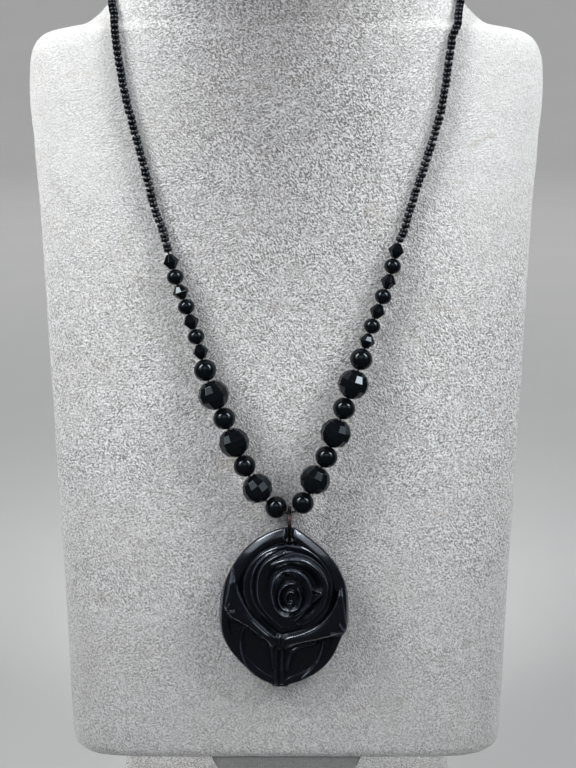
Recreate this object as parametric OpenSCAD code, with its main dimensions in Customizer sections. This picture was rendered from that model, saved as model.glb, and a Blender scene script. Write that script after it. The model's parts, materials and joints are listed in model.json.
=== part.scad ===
// Onyx pendant necklace on a plain neck bust, in millimetres.
// +Z is up, the front faces -Y, and the origin is under the middle of the base plate.
//
// The bust and everything on it are drawn in the bust's own frame, which leans back:
// x to the right, y into the bust (so a depth in front of its middle plane is -y),
// z up along the bust from its lower edge.

/* [Beads] */
// Width of a faceted bead
faceted_d = 8; // [7.6:0.1:8.2]
// Width of a round bead
round_d = 6; // [5.6:0.1:6]
// Width of a small round bead
small_d = 4.2; // [3.8:0.1:4.2]
// Width of a double-cone bead at its waist
bicone_d = 4; // [3.6:0.1:4.2]
// Length of a double-cone bead along the thread
bicone_l = 4; // [3.8:0.1:4.2]
// Facets round a faceted bead
faceted_sides = 12; // [10:1:12]
// Facets round a double-cone bead
bicone_sides = 8; // [8:1:12]
// Width of the hole through a bead
bead_hole_d = 1; // [0.9:0.1:1.1]
// Width of the thread
thread_d = 0.4; // [0.3:0.05:0.4]
// Width of the string of seed beads
seed_d = 2.2; // [1.8:0.1:2.2]

/* [Ring and clasp] */
// Wire of the ring that carries the pendant
ring_wire_d = 1.1; // [0.9:0.1:1.1]
// Ring across the middle of its wire
ring_mid_d = 9; // [8.8:0.1:9.2]
// Length of the clasp behind the neck
clasp_l = 12; // [10:1:13]
// Width of the clasp
clasp_d = 4.4; // [4:0.1:4.8]

/* [Pendant] */
// Thickness of the pendant's flat ground
ground_t = 3.6; // [3.4:0.1:3.6]
// Height of the rim over the ground
rim_rise = 1.5; // [1:0.1:2]
// Height of the rose's dome under its petals, over the ground
dome_rise = 2.4; // [1.6:0.1:2.8]
// Height of the leaves over the ground
leaf_rise = 3.1; // [1.5:0.1:3.2]
// Width of the pendant's hole
eye_d = 2; // [2:0.1:2.2]

/* [Bust] */
// How far the bust leans back, in degrees
lean = 8; // [4:1:10]
// Height of the bust's lower edge over the table
bust_lift = 45; // [40:1:60]
// Width of the stem at its waist
stem_w = 37; // [34:1:40]
// Depth of the stem
stem_t = 20; // [18:1:22]
// Width of the base plate
base_w = 112; // [100:1:130]
// Depth of the base plate
base_d = 92; // [92:1:110]
// Thickness of the base plate
base_t = 10; // [8:1:14]

/* [Hidden] */

bust_y = -25;        // where the bust's middle plane meets its lower edge
clear = 0.3;         // gap between a moving piece and what it lies against
snug = 0.15;         // gap between neighbours on the thread

// Sections of the bust, from its lower edge to the top of the neck:
// height, half width, depth in front, depth behind, flatness of the front
SECTIONS = [
    [0, 59, 8, 9, 10],
    [1.5, 62, 10.5, 12, 10],
    [4, 64, 11.5, 13.5, 10],
    [16, 64.6, 12.2, 14.5, 8],
    [51, 65.3, 12.7, 17, 6],
    [81, 66.2, 13, 19.5, 5],
    [121, 67.3, 13, 22, 4],
    [153, 68, 12.6, 24, 4],
    [180, 69.2, 12, 26, 4],
    [193, 69.9, 11.5, 27, 4],
    [200, 69.6, 11, 27.5, 4],
    [204, 68.7, 10.7, 28, 4],
    [206.7, 67, 10.4, 28, 4],
    [208.6, 64, 10.2, 28, 4],
    [209.8, 59, 10, 28, 3.5],
    [210.6, 54.6, 10, 28.5, 3.2],
    [212.7, 51.2, 10, 28.5, 3],
    [216.6, 47.3, 10, 29, 2.8],
    [221, 43.3, 10.3, 29, 2.6],
    [226, 40.4, 10.8, 29.5, 2.4],
    [232, 38.6, 11.5, 29.5, 2.3],
    [241, 37.6, 12.5, 29, 2.2],
    [253, 37.3, 14, 28, 2.2],
    [264, 37.5, 15.5, 27, 2.2],
    [266, 35.5, 13.5, 25, 2.2]
];
edge_power = 1 / 2.2;    // how square the bust's front and back edges are
back_flatness = 3;
section_points = 40;

// The chain, bead by bead from the ring up:
// kind, heading of its link from the vertical, gap before it, height of its centre over the chest
LEFT_CHAIN = [
    ["round", 70, 0, 5.4],
    ["faceted", 44, 0.4, 5],
    ["round", 29, 0.2, 4.7],
    ["faceted", 24, 0.15, 4.5],
    ["round", 21, 0.15, 4.2],
    ["faceted", 23, 0.15, 4.3],
    ["round", 19, 0.15, 3.6],
    ["bicone", 14, 0.15, 2.9],
    ["small", 16, 0.15, 2.6],
    ["bicone", 18, 0.15, 2.5],
    ["small", 17, 0.15, 2.4],
    ["bicone", 20, 0.15, 2.4],
    ["small", 19, 0.15, 2.4],
    ["bicone", 15, 0.15, 2.3]
];
RIGHT_CHAIN = [
    ["round", 55, 0, 5.4],
    ["faceted", 27, 0.3, 5],
    ["round", 26, 0.15, 4.7],
    ["faceted", 21, 0.15, 4.5],
    ["round", 18, 0.15, 4.2],
    ["faceted", 20, 0.15, 4.3],
    ["round", 17, 0.15, 3.6],
    ["bicone", 18, 0.15, 2.9],
    ["small", 18, 0.15, 2.6],
    ["bicone", 20, 0.15, 2.5],
    ["small", 20, 0.15, 2.4],
    ["bicone", 19, 0.15, 2.4],
    ["small", 14, 0.15, 2.4],
    ["bicone", 13, 0.15, 2.3]
];

// Where the seed strings lie on the chest, above the last bead: x, height
LEFT_CHEST_ROUTE = [
    [-33, 156], [-35, 161.5], [-36.5, 168], [-38, 174], [-39.5, 180], [-41, 186],
    [-42.5, 192], [-43.5, 198], [-44.2, 203], [-44.7, 206.5]
];
RIGHT_CHEST_ROUTE = [
    [31.5, 156], [33, 161.5], [35, 168], [37, 174], [38.8, 180], [40.5, 186],
    [41.6, 192], [42.4, 198], [43, 203], [43.6, 206.5]
];
// Over the shoulder and round the neck behind them, for the right side: x, depth in front, height
NECK_ROUTE = [
    [44.9, 10.3, 209.4], [45.3, 8, 212.6], [46.2, 5, 216.7], [46.1, 1.4, 220.2], [44.4, -4, 222.3],
    [42, -10, 224.3], [39, -15.5, 226.2], [35.2, -20.3, 228], [30.8, -24.2, 229.9],
    [25.7, -27.3, 231.7], [20.3, -29.2, 233.3], [14.7, -30.4, 234.8], [10, -31.2, 236]
];

// Pendant, from its hole: x to the right, y up. Its outline is given from the rose's heart:
// direction in degrees, reach
heart = [0, -18];
OUTLINE = [
    [0, 16.6], [10, 16.4], [32, 16.7], [49, 17.4], [65, 18.6], [76, 20], [85, 21.9], [90, 22.4],
    [95, 22.1], [109, 21.1], [127, 20], [143, 19.1], [163, 18.9], [178, 19.3], [193, 20.1],
    [209, 22.2], [222, 23.1], [240, 24.6], [248, 26], [254, 26.9], [263, 27.4], [269, 27.1],
    [275, 26], [286, 24.7], [295, 23.5], [308, 21.2], [323, 18.5], [330, 18.9], [349, 16.9],
    [360, 16.6]
];
// The rose has its own heart, and its petals' lips run round it, from the outermost:
// height over the ground, width of the slope towards the heart, width of the fall outwards, lip
rose = [0.2, -15.5];
PETALS = [
    [1.7, 2, 0.9, [[-0.7, -0.9], [-4, -1.6], [-7.8, -3.6], [-10.8, -6.9], [-12.3, -10.6],
        [-12.5, -14.7], [-11.5, -18.4], [-10.2, -21]]],
    [1.7, 2, 0.9, [[-0.7, -0.9], [3.4, -1.4], [6.7, -3.4], [9.1, -6], [11.2, -10], [11.6, -14.7],
        [10.8, -19], [8.1, -23], [4, -26]]],
    [2.3, 1.4, 0.8, [[-3.4, -1.9], [-6.7, -3.7], [-9.2, -6.6], [-10.3, -9.8], [-10.6, -13],
        [-10.1, -16.5], [-8.6, -19.8], [-6, -22.8]]],
    [2.9, 2.2, 0.8, [[-1.4, -2.6], [-4, -3.6], [-6.6, -5.4], [-8.2, -8.2], [-8.8, -11.8],
        [-8.6, -15.9], [-7.2, -19.2], [-4.7, -22.3], [-2, -25.2]]],
    [3.4, 2.2, 0.9, [[-5.4, -6.2], [-2, -4.6], [1.3, -4.1], [4.7, -4.9], [8, -7.5], [10, -11],
        [10.3, -14.2], [9.2, -18.1], [6.6, -21.5], [3.6, -24]]],
    [3.9, 1.5, 0.8, [[-2, -7.9], [-4, -9.7], [-4.9, -12.7], [-4.7, -15.7], [-3.9, -18.6],
        [-2, -20.8], [0.3, -21.6]]],
    [3.7, 1.5, 0.8, [[-2, -7.9], [0.3, -7.2], [2.9, -8], [5, -10.3], [6, -13.3], [5.6, -16.4],
        [3.8, -19.3], [1.6, -21.2]]],
    [3.9, 1, 0.7, [[1.6, -11.4], [-0.7, -11.4], [-2.5, -13.3], [-3, -16.1], [-2, -18.6],
        [0.2, -19.5], [2.4, -18.4], [3.2, -15.6], [2.4, -13]]],
    [3.8, 0.7, 0.6, [[1.5, -15.2], [1, -13.9], [-0.3, -13.8], [-1, -15.3], [-0.5, -17], [1, -17.4]]],
    [3.6, 1.8, 0.8, [[6.4, -13.4], [8.9, -14.3], [7.3, -16.2], [5.7, -17.6], [3.7, -20.4], [1.3, -23]]]
];
// Curled leaves that hold the rose: upper edge from the top down, lower edge from the tip inwards
LEAVES = [
    [[[-15.9, -7.5], [-15, -12.5], [-13.6, -16.8], [-11, -21.6], [-7.4, -25.6], [-4.7, -28.2],
        [-3.9, -30.5]],
     [[-18.3, -19.8], [-17, -22.4], [-13.8, -24.3], [-10.8, -26.3], [-7.6, -29.3], [-6.4, -31.5],
        [-6, -34.7]]],
    [[[14.3, -11.5], [13.7, -16.5], [11.5, -21.3], [8.1, -24.9], [3.4, -27.5], [-0.7, -29], [-2, -31]],
     [[16.4, -26.7], [14.4, -27.9], [8.1, -30.1], [4, -31.4], [1.3, -33], [-0.3, -35.4]]]
];
leaf_crest_at = 0.42;    // where a leaf's roll is highest, as a share of the way across it
leaf_roll = 0.6;         // reach of the roll's ellipse to either side, as a share of the way across
leaf_edge_rise = 1.5;    // height at a leaf's lower edge
leaf_end = [-34.5, 5.5]; // where the leaves' lower ends have sunk into the ground, and over how much
// Stem's two ribs, the edges of the lower leaves, and the hooks in which the upper ones end:
// height over the ground, half width, line
RIBS = [
    [1.3, 0.9, [[-4.4, -28.5], [-3.8, -31.5], [-3.9, -36], [-3.9, -43.5]]],
    [1.3, 0.9, [[-1, -29.2], [-2, -32], [-2.1, -36], [-2.2, -43.5]]],
    [1, 0.6, [[-12.6, -25.2], [-13.7, -30], [-13.6, -33.7], [-12.1, -38.3], [-9.5, -41.3]]],
    [1, 0.6, [[9.6, -30.3], [8.7, -34.8], [6.6, -38.8], [3.4, -42]]],
    [1.3, 0.9, [[-9, -28], [-6.6, -29.4], [-5.3, -31.4], [-4.9, -34.5], [-4.6, -38]]],
    [1.3, 0.9, [[7, -30.6], [3.4, -31.7], [1.1, -33.2], [-0.2, -35.8], [-0.6, -39]]]
];
outline_steps = 96;
relief_rings = 34;
edge_round = 1.6;        // width of the rounded edge all round the pendant
edge_drop = 2.2;         // how far that edge falls towards the back
dome_half = [11.5, 13.5];
rim_line = 1.5;          // the rim's crest runs this far inside the outline
rim_half = 1.45;

// The ring hangs on the thread, and the pendant on the ring.
ring_x = 0.9;
ring_h = 79.3;
ring_r = ring_mid_d / 2;
wire_r = ring_wire_d / 2;
tilt = 4.5;              // the pendant's top stands this far off the chest, in degrees
ring_below_thread = ring_r - wire_r - thread_d / 2 - snug;
eye_below_ring = ring_r - snug;
ring_depth = chest_depth(ring_x, ring_h) + clear + ring_r + wire_r
    + ring_below_thread * sin(tilt);
first_bead_x = round_d / 2 + wire_r + snug;   // from the ring's middle to the nearest bead's

// Bust surface

function column(key, value) = [for (row = SECTIONS) [row[key], row[value]]];
function bust_half_width(height) = lookup(height, column(0, 1));
function bust_front(height) = lookup(height, column(0, 2));
function bust_flatness(height) = lookup(height, column(0, 4));

// How full a section is at a share of its half width: 1 in the middle, 0 at the side
function fullness(share, flatness) = pow(max(0, 1 - pow(abs(share), flatness)), edge_power);

function chest_depth(x, height) =
    bust_front(height) * fullness(x / bust_half_width(height), bust_flatness(height));

function section_ring(row) = [
    for (i = [0 : section_points - 1])
        let (turn = 360 * i / section_points, share = sin(turn))
        let (full = cos(turn) > 0 ? row[2] * fullness(share, row[4])
                                  : -row[3] * fullness(share, back_flatness))
        [row[1] * share, -full, row[0]]
];

// Chain of beads

function bead_length(kind) =
    kind == "faceted" ? faceted_d : kind == "round" ? round_d : kind == "small" ? small_d : bicone_l;

// A place on the bust: x, y and z from x, height and depth over the chest
function on_chest(x, height, over) = [x, -chest_depth(x, height) - over, height];

ring_point = [ring_x, -ring_depth, ring_h];

function link_length(chain, i) =
    i == 0 ? first_bead_x / sin(chain[0][1])
           : (bead_length(chain[i - 1][0]) + bead_length(chain[i][0])) / 2 + chain[i][2];

function next_centre(from, row, link, side) =
    let (way = [side * sin(row[1]), cos(row[1])])
    let (guess = on_chest(from[0] + way[0] * link, from[2] + way[1] * link, row[3]))
    let (step = sqrt(link * link - pow(guess[1] - from[1], 2)))
    on_chest(from[0] + way[0] * step, from[2] + way[1] * step, row[3]);

function centres(chain, side, i = 0, from = ring_point) =
    i == len(chain) ? []
    : let (here = next_centre(from, chain[i], link_length(chain, i), side))
      concat([here], centres(chain, side, i + 1, here));

function unit(v) = v / norm(v);

left_centres = centres(LEFT_CHAIN, -1);
right_centres = centres(RIGHT_CHAIN, 1);

// A bead's number among those of its kind on its side, from the ring up
function kind_number(chain, i) = len([for (k = [0 : i]) if (chain[k][0] == chain[i][0]) k]);

// A bead's hole runs from the bead before it towards the bead after it.
function before(list, i) = i == 0 ? ring_point : list[i - 1];
function after(list, i) = i == len(list) - 1 ? 2 * list[i] - list[i - 1] : list[i + 1];
function hole_way(list, i) = unit(unit(list[i] - before(list, i)) + unit(after(list, i) - list[i]));
function hole_point(list, chain, i, share) =
    list[i] + hole_way(list, i) * share * bead_length(chain[i][0]) / 2;

// The thread keeps to the middle of each hole, up to this share of the way to its ends.
in_hole = 0.92;
function thread_half(list, chain) = [
    for (i = [0 : len(list) - 1], share = [-in_hole, in_hole]) hole_point(list, chain, i, share)
];
// A point on the last bead's axis, this far past its end
function past_last(list, chain, gap) =
    hole_point(list, chain, len(list) - 1, 1 + 2 * gap / bicone_l);
function reversed(list) = [for (i = [len(list) - 1 : -1 : 0]) list[i]];

thread_route = concat(
    [past_last(left_centres, LEFT_CHAIN, snug)],
    reversed(thread_half(left_centres, LEFT_CHAIN)),
    [ring_point],
    thread_half(right_centres, RIGHT_CHAIN),
    [past_last(right_centres, RIGHT_CHAIN, snug)]
);

// Seed strings: they go on where the thread ends, cross the chest, and go round the neck.
function seed_route(list, chain, chest, side) = concat(
    [past_last(list, chain, 3 * snug)],
    [for (p = chest) on_chest(p[0], p[1], seed_d / 2 + snug)],
    [for (p = NECK_ROUTE) [side * p[0], -p[1], p[2]]],
    [[side * (clasp_l / 2 + 3 * snug), clasp_back, clasp_h]]
);
clasp_back = 31.8;
clasp_h = 236.7;

left_seed_route = seed_route(left_centres, LEFT_CHAIN, LEFT_CHEST_ROUTE, -1);
right_seed_route = seed_route(right_centres, RIGHT_CHAIN, RIGHT_CHEST_ROUTE, 1);

// Tube along a route

tube_sides = 8;
// Across the route, away from the middle of the neck
function away(p, way) = let (out = [p[0], p[1] - 10, 0]) unit(out - (out * way) * way);
function way_at(route, i) = unit(
    route[min(i + 1, len(route) - 1)] - route[max(i - 1, 0)]);
function tube_ring(route, i, radius) =
    let (way = way_at(route, i), out = away(route[i], way), across = cross(way, out))
    [for (k = [0 : tube_sides - 1])
        let (turn = 360 * k / tube_sides)
        route[i] + radius * (cos(turn) * out + sin(turn) * across)];

// Faces of a closed skin over rings of equal counts, each turning right-handed about the way on
function skin_faces(rings, count) = concat(
    [[for (k = [0 : count - 1]) k]],
    [for (i = [0 : rings - 2], k = [0 : count - 1])
        let (next = (k + 1) % count)
        each [[i * count + k, (i + 1) * count + next, i * count + next],
              [i * count + k, (i + 1) * count + k, (i + 1) * count + next]]],
    [reversed([for (k = [0 : count - 1]) (rings - 1) * count + k])]
);

module tube(route, radius) {
    points = [for (i = [0 : len(route) - 1]) each tube_ring(route, i, radius)];
    polyhedron(points, skin_faces(len(route), tube_sides));
}

// Relief of the pendant

// A smooth line through a row's points
function smooth(points, parts = 3) =
    let (last = len(points) - 1)
    concat([for (i = [0 : last - 1], k = [0 : parts - 1])
        let (t = k / parts, b = points[i], c = points[i + 1])
        let (a = i == 0 ? 2 * b - c : points[i - 1])
        let (d = i == last - 1 ? 2 * c - b : points[i + 2])
        (2 * b + (c - a) * t + (2 * a - 5 * b + 4 * c - d) * t * t
            + (3 * b - a - 3 * c + d) * t * t * t) / 2],
        [points[last]]);

function segment_spot(p, a, b) =
    let (ab = b - a)
    a + ab * max(0, min(1, ((p - a) * ab) / (ab * ab)));

// The place on a line that is nearest to a point
function nearest(p, line) =
    let (spots = [for (i = [0 : len(line) - 2]) segment_spot(p, line[i], line[i + 1])])
    let (least = min([for (spot = spots) norm(p - spot)]))
    [for (spot = spots) if (norm(p - spot) == least) spot][0];

function crossings(p, ring) = len([
    for (i = [0 : len(ring) - 1])
        let (a = ring[i], b = ring[(i + 1) % len(ring)])
        if ((a[1] > p[1]) != (b[1] > p[1])
            && p[0] < (b[0] - a[0]) * (p[1] - a[1]) / (b[1] - a[1]) + a[0]) i
]);

// 1 on a line, falling off smoothly over a width
function bell(distance, width) = exp(-pow(distance / width, 2));

petal_lips = [for (row = PETALS) smooth(row[3])];
leaf_ridges = [for (row = LEAVES) smooth(row[0])];
leaf_edges = [for (row = LEAVES) smooth(row[1])];
rib_lines = [for (row = RIBS) smooth(row[2])];

// A petal's lip falls steeply outwards, and slopes to a hollow towards the rose's heart.
function petal(p, i) =
    let (row = PETALS[i], spot = nearest(p, petal_lips[i]), distance = norm(p - spot))
    row[0] * (norm(p - rose) < norm(spot - rose)
        ? (bell(distance, row[1]) + bell(distance, 3 * row[1])) / 2
        : bell(distance, row[2]));

// A leaf is a thick roll, an ellipse across from its upper to its lower edge; beside it the
// ground rises to it, and its lower end sinks into the ground.
function leaf(p, i) =
    let (from_ridge = norm(p - nearest(p, leaf_ridges[i])))
    let (from_edge = norm(p - nearest(p, leaf_edges[i])))
    let (across = from_ridge / max(from_ridge + from_edge, 0.001))
    let (roll = sqrt(max(0, 1 - pow((across - leaf_crest_at) / leaf_roll, 2))))
    let (sunk = max(0, min(1, (p[1] - leaf_end[0]) / leaf_end[1])))
    let (inside = crossings(p, concat(leaf_ridges[i], reversed(leaf_edges[i]))) % 2 == 1)
    sunk * (inside ? leaf_rise * roll
                   : max(0.8 * leaf_rise * bell(from_ridge, 0.9), leaf_edge_rise * bell(from_edge, 0.7)));

function rib(p, i) = RIBS[i][0] * bell(norm(p - nearest(p, rib_lines[i])), RIBS[i][1]);

function dome(p) =
    let (from_rose = p - rose)
    let (share = pow(from_rose[0] / dome_half[0], 2) + pow(from_rose[1] / dome_half[1], 2))
    dome_rise * pow(max(0, 1 - share), 0.7);

// The rim is full round the rose and fades below the leaves.
RIM_SHARE = [[0, 1], [180, 1], [200, 0.8], [215, 0.35], [300, 0.35], [325, 0.5], [345, 1], [360, 1]];
function rim(inset, turn) =
    rim_rise * lookup(turn, RIM_SHARE) * pow(max(0, 1 - pow((inset - rim_line) / rim_half, 2)), 0.8);
function edge_fall(inset) =
    inset >= edge_round ? 0 : edge_drop * (1 - sqrt(1 - pow(1 - inset / edge_round, 2)));

function relief(p, inset, turn) = ground_t - edge_fall(inset) + max(concat(
    [rim(inset, turn), dome(p)],
    [for (i = [0 : len(PETALS) - 1]) petal(p, i)],
    [for (i = [0 : len(LEAVES) - 1]) leaf(p, i)],
    [for (i = [0 : len(RIBS) - 1]) rib(p, i)]
));

// Rings of the pendant's skin, from the edge of its back over the front to a flat spot in the middle
function carved_ring(share) = [
    for (i = [0 : outline_steps - 1])
        let (turn = 360 * i / outline_steps, reach = lookup(turn, OUTLINE))
        let (p = heart + share * reach * [cos(turn), sin(turn)])
        [p[0], p[1], relief(p, (1 - share) * reach, turn)]
];
function flat_ring(share, level) = [for (p = carved_ring(share)) [p[0], p[1], level]];
middle_share = 0.03;
ring_shares = [for (i = [relief_rings : -1 : 1]) pow(i / relief_rings, 1.05)];

module carved_slab() {
    rings = concat([flat_ring(1, 0)], [for (share = ring_shares) carved_ring(share)],
        [flat_ring(middle_share, relief(heart, edge_round, 0))]);
    polyhedron([for (ring = rings) each ring], skin_faces(len(rings), outline_steps));
}

// Pieces

module on_bust() {
    translate([0, bust_y, bust_lift]) rotate([-lean, 0, 0]) children();
}

module neck_bust() {
    color("silver") on_bust()
        polyhedron([for (row = SECTIONS) each section_ring(row)],
            skin_faces(len(SECTIONS), section_points));
}

module chamfered_plan(half_x, half_y, chamfer) {
    polygon([[half_x, half_y - chamfer], [half_x - chamfer, half_y],
        [chamfer - half_x, half_y], [-half_x, half_y - chamfer],
        [-half_x, chamfer - half_y], [chamfer - half_x, -half_y],
        [half_x - chamfer, -half_y], [half_x, chamfer - half_y]]);
}

// The stem flares where it meets the bust and the base.
module bust_stem() {
    flare = 9;
    top = bust_lift + 10;
    half = stem_w / 2;
    neck = half + 4.5;
    foot = half + 6;
    color("gainsboro") difference() {
        intersection() {
            translate([0, bust_y + stem_t / 2, 0]) rotate([90, 0, 0]) linear_extrude(stem_t)
                polygon([[-foot, base_t], [foot, base_t], [half, base_t + flare],
                    [half, bust_lift - flare], [neck, bust_lift], [neck, top],
                    [-neck, top], [-neck, bust_lift], [-half, bust_lift - flare],
                    [-half, base_t + flare]]);
            translate([0, bust_y, 0]) linear_extrude(top) chamfered_plan(foot, stem_t / 2, 4);
        }
        on_bust() translate([-base_w, -base_w, 0]) cube([2 * base_w, 2 * base_w, base_w]);
    }
}

module rounded_plate(width, depth, radius) {
    square([width - 2 * radius, depth], center = true);
    square([width, depth - 2 * radius], center = true);
    for (sx = [-1, 1], sy = [-1, 1])
        translate([sx * (width / 2 - radius), sy * (depth / 2 - radius)]) circle(radius, $fn = 64);
}

module base_plate() {
    corner = 16;
    step = 1.5;
    color("silver") {
        linear_extrude(base_t - step) rounded_plate(base_w, base_d, corner);
        translate([0, 0, base_t - step])
            linear_extrude(step) rounded_plate(base_w - step, base_d - step, corner - step / 2);
    }
}

bicone_end_r = 0.8;
bicone_belt = 0.3;       // length of the narrow belt round a double cone
FACET_RISES = [-70, -45, -15, 15, 45, 70];   // angles of a faceted bead's corners from its waist
faceted_cap = 0.94;      // where its ends are cut off, as a share of its radius

module bead_body(kind) {
    if (kind == "round") sphere(d = round_d, $fn = 48);
    if (kind == "small") sphere(d = small_d, $fn = 48);
    if (kind == "bicone") rotate_extrude($fn = bicone_sides)
        polygon([[0, -bicone_l / 2], [bicone_end_r, -bicone_l / 2], [bicone_d / 2, -bicone_belt / 2],
            [bicone_d / 2, bicone_belt / 2], [bicone_end_r, bicone_l / 2], [0, bicone_l / 2]]);
    if (kind == "faceted") rotate_extrude($fn = faceted_sides)
        polygon(concat([[0, -faceted_d / 2 * faceted_cap]],
            [for (rise = FACET_RISES) faceted_d / 2 * [cos(rise), sin(rise)]],
            [[0, faceted_d / 2 * faceted_cap]]));
}

// A bead stands on the thread, drilled along it.
module bead(list, chain, i) {
    kind = chain[i][0];
    way = hole_way(list, i);
    color("black") on_bust() translate(list[i])
        rotate([0, acos(way[2]), atan2(way[1], way[0])]) difference() {
            rotate([0, 0, 37 * i]) bead_body(kind);
            cylinder(d = bead_hole_d, h = 2 * faceted_d, center = true, $fn = 32);
        }
}

module thread() {
    color("dimgray") on_bust() tube(thread_route, thread_d / 2);
}

module seed_string_left() {
    color("black") on_bust() tube(left_seed_route, seed_d / 2);
}

module seed_string_right() {
    color("black") on_bust() tube(right_seed_route, seed_d / 2);
}

module clasp() {
    color("dimgray") on_bust() translate([0, clasp_back, clasp_h])
        rotate([0, 90, 0]) cylinder(d = clasp_d, h = clasp_l, center = true, $fn = 48);
}

// From the thread down, in the plane of the pendant
module hanging() {
    on_bust() translate(ring_point) rotate([tilt, 0, 0]) children();
}

module pendant_ring() {
    color("dimgray") hanging() translate([0, 0, -ring_below_thread])
        rotate([0, 90, 0]) rotate_extrude($fn = 64) translate([ring_r, 0]) circle(wire_r, $fn = 32);
}

GROOVE_TOP = [1.9, 6.5]; // half width and height of the ring's groove where it leaves the pendant

module pendant() {
    color("black") hanging() translate([0, 0, -ring_below_thread - eye_below_ring])
        rotate([90, 0, 0]) translate([0, 0, -ground_t / 2]) difference() {
            carved_slab();
            translate([0, 0, -1]) cylinder(d = eye_d, h = 12, $fn = 48);
            translate([0, 0, ground_t]) linear_extrude(6)
                polygon([[-eye_d / 2, 0], [eye_d / 2, 0], GROOVE_TOP, [-GROOVE_TOP[0], GROOVE_TOP[1]]]);
        }
}

neck_bust();
bust_stem();
base_plate();
thread();
seed_string_left();
seed_string_right();
pendant_ring();
pendant();
clasp();
for (i = [0 : len(LEFT_CHAIN) - 1]) {
    bead(left_centres, LEFT_CHAIN, i);
    bead(right_centres, RIGHT_CHAIN, i);
}
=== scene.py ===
"""Looks of an onyx pendant necklace on a plain neck bust.

Lengths are in millimetres until a mesh is made, where they become metres.
"""

import json
import logging
import math
from dataclasses import dataclass, field
from enum import Enum

import bmesh
import bpy
import numpy as np
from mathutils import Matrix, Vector


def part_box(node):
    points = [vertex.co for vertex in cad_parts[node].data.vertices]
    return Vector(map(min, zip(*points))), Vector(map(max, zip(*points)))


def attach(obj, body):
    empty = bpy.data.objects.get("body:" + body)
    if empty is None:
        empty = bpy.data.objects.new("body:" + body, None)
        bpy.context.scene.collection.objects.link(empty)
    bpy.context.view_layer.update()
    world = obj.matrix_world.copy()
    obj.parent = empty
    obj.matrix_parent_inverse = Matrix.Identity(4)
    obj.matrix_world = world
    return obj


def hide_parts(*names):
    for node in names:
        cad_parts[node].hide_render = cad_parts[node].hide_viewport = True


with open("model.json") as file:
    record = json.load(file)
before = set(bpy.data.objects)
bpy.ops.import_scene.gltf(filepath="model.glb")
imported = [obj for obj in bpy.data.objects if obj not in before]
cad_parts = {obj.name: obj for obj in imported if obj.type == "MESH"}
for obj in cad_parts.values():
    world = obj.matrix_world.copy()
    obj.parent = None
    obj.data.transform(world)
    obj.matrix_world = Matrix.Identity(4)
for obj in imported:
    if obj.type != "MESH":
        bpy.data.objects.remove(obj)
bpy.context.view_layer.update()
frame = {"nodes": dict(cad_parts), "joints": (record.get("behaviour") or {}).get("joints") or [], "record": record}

MM = 0.001
SEED = 11
BORE = 0.5  # half the width of the hole through a bead
Points = np.ndarray
log = logging.getLogger("necklace")


class Body(Enum):
    """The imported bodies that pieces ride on."""

    STAND = "bust_and_string"
    RING = "ring"
    DROP = "drop"


class Slot(Enum):
    """The record's material slots."""

    BUST = "bust_plush"
    STEM = "stem_cover"
    BASE = "base_cover"
    THREAD = "thread"
    SEEDS = "seed_glass"
    ROUND = "onyx_round"
    FACETED = "onyx_faceted"
    BICONE = "onyx_bicone"
    CARVED = "onyx_carved"
    METAL = "gunmetal"


class Side(Enum):
    """The two sides of the necklace, as the viewer sees them."""

    LEFT = -1
    RIGHT = 1

    @property
    def word(self) -> str:
        """The side's name in the CAD nodes' names."""
        return self.name.lower()


class BeadKind(Enum):
    """The kinds of bead in the chain, by their CAD nodes' names."""

    ROUND = "round_bead"
    FACETED = "faceted_bead"
    SMALL = "small_bead"
    BICONE = "bicone_bead"


# Lines and skins, worked out as whole arrays.


def unit(v: Points) -> Points:
    """Each vector divided by its own length."""
    return v / np.linalg.norm(v, axis=-1, keepdims=True)


def smooth_line(points: Points, parts: int) -> Points:
    """A line bent evenly through the points.

    Every stretch is a cubic that leaves and arrives parallel to the chord between the neighbours
    on both sides; beyond each end the last stretch is mirrored.

    Args:
        points: places in two or three dimensions, one a row.
        parts: how many steps each stretch has.

    Returns:
        The line's places, one a row.
    """
    p = np.asarray(points, float)
    p = np.vstack([2 * p[0] - p[1], p, 2 * p[-1] - p[-2]])
    a, b, c, d = (p[k : len(p) - 3 + k][:, None] for k in range(4))
    t = (np.arange(parts) / parts)[None, :, None]
    bent = 2 * b + (c - a) * t + (2 * a - 5 * b + 4 * c - d) * t**2 + (3 * b - a - 3 * c + d) * t**3
    return np.vstack([0.5 * bent.reshape(-1, p.shape[1]), p[-2]])


def distances(line: Points) -> Points:
    """How far along a line each of its places is."""
    return np.concatenate([[0.0], np.cumsum(np.linalg.norm(np.diff(line, axis=0), axis=1))])


def spots_along(line: Points, spots: Points) -> Points:
    """Places at given distances along a line, by straight steps between its places."""
    total = distances(line)
    return np.stack([np.interp(spots, total, line[:, k]) for k in range(line.shape[1])], axis=1)


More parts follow.
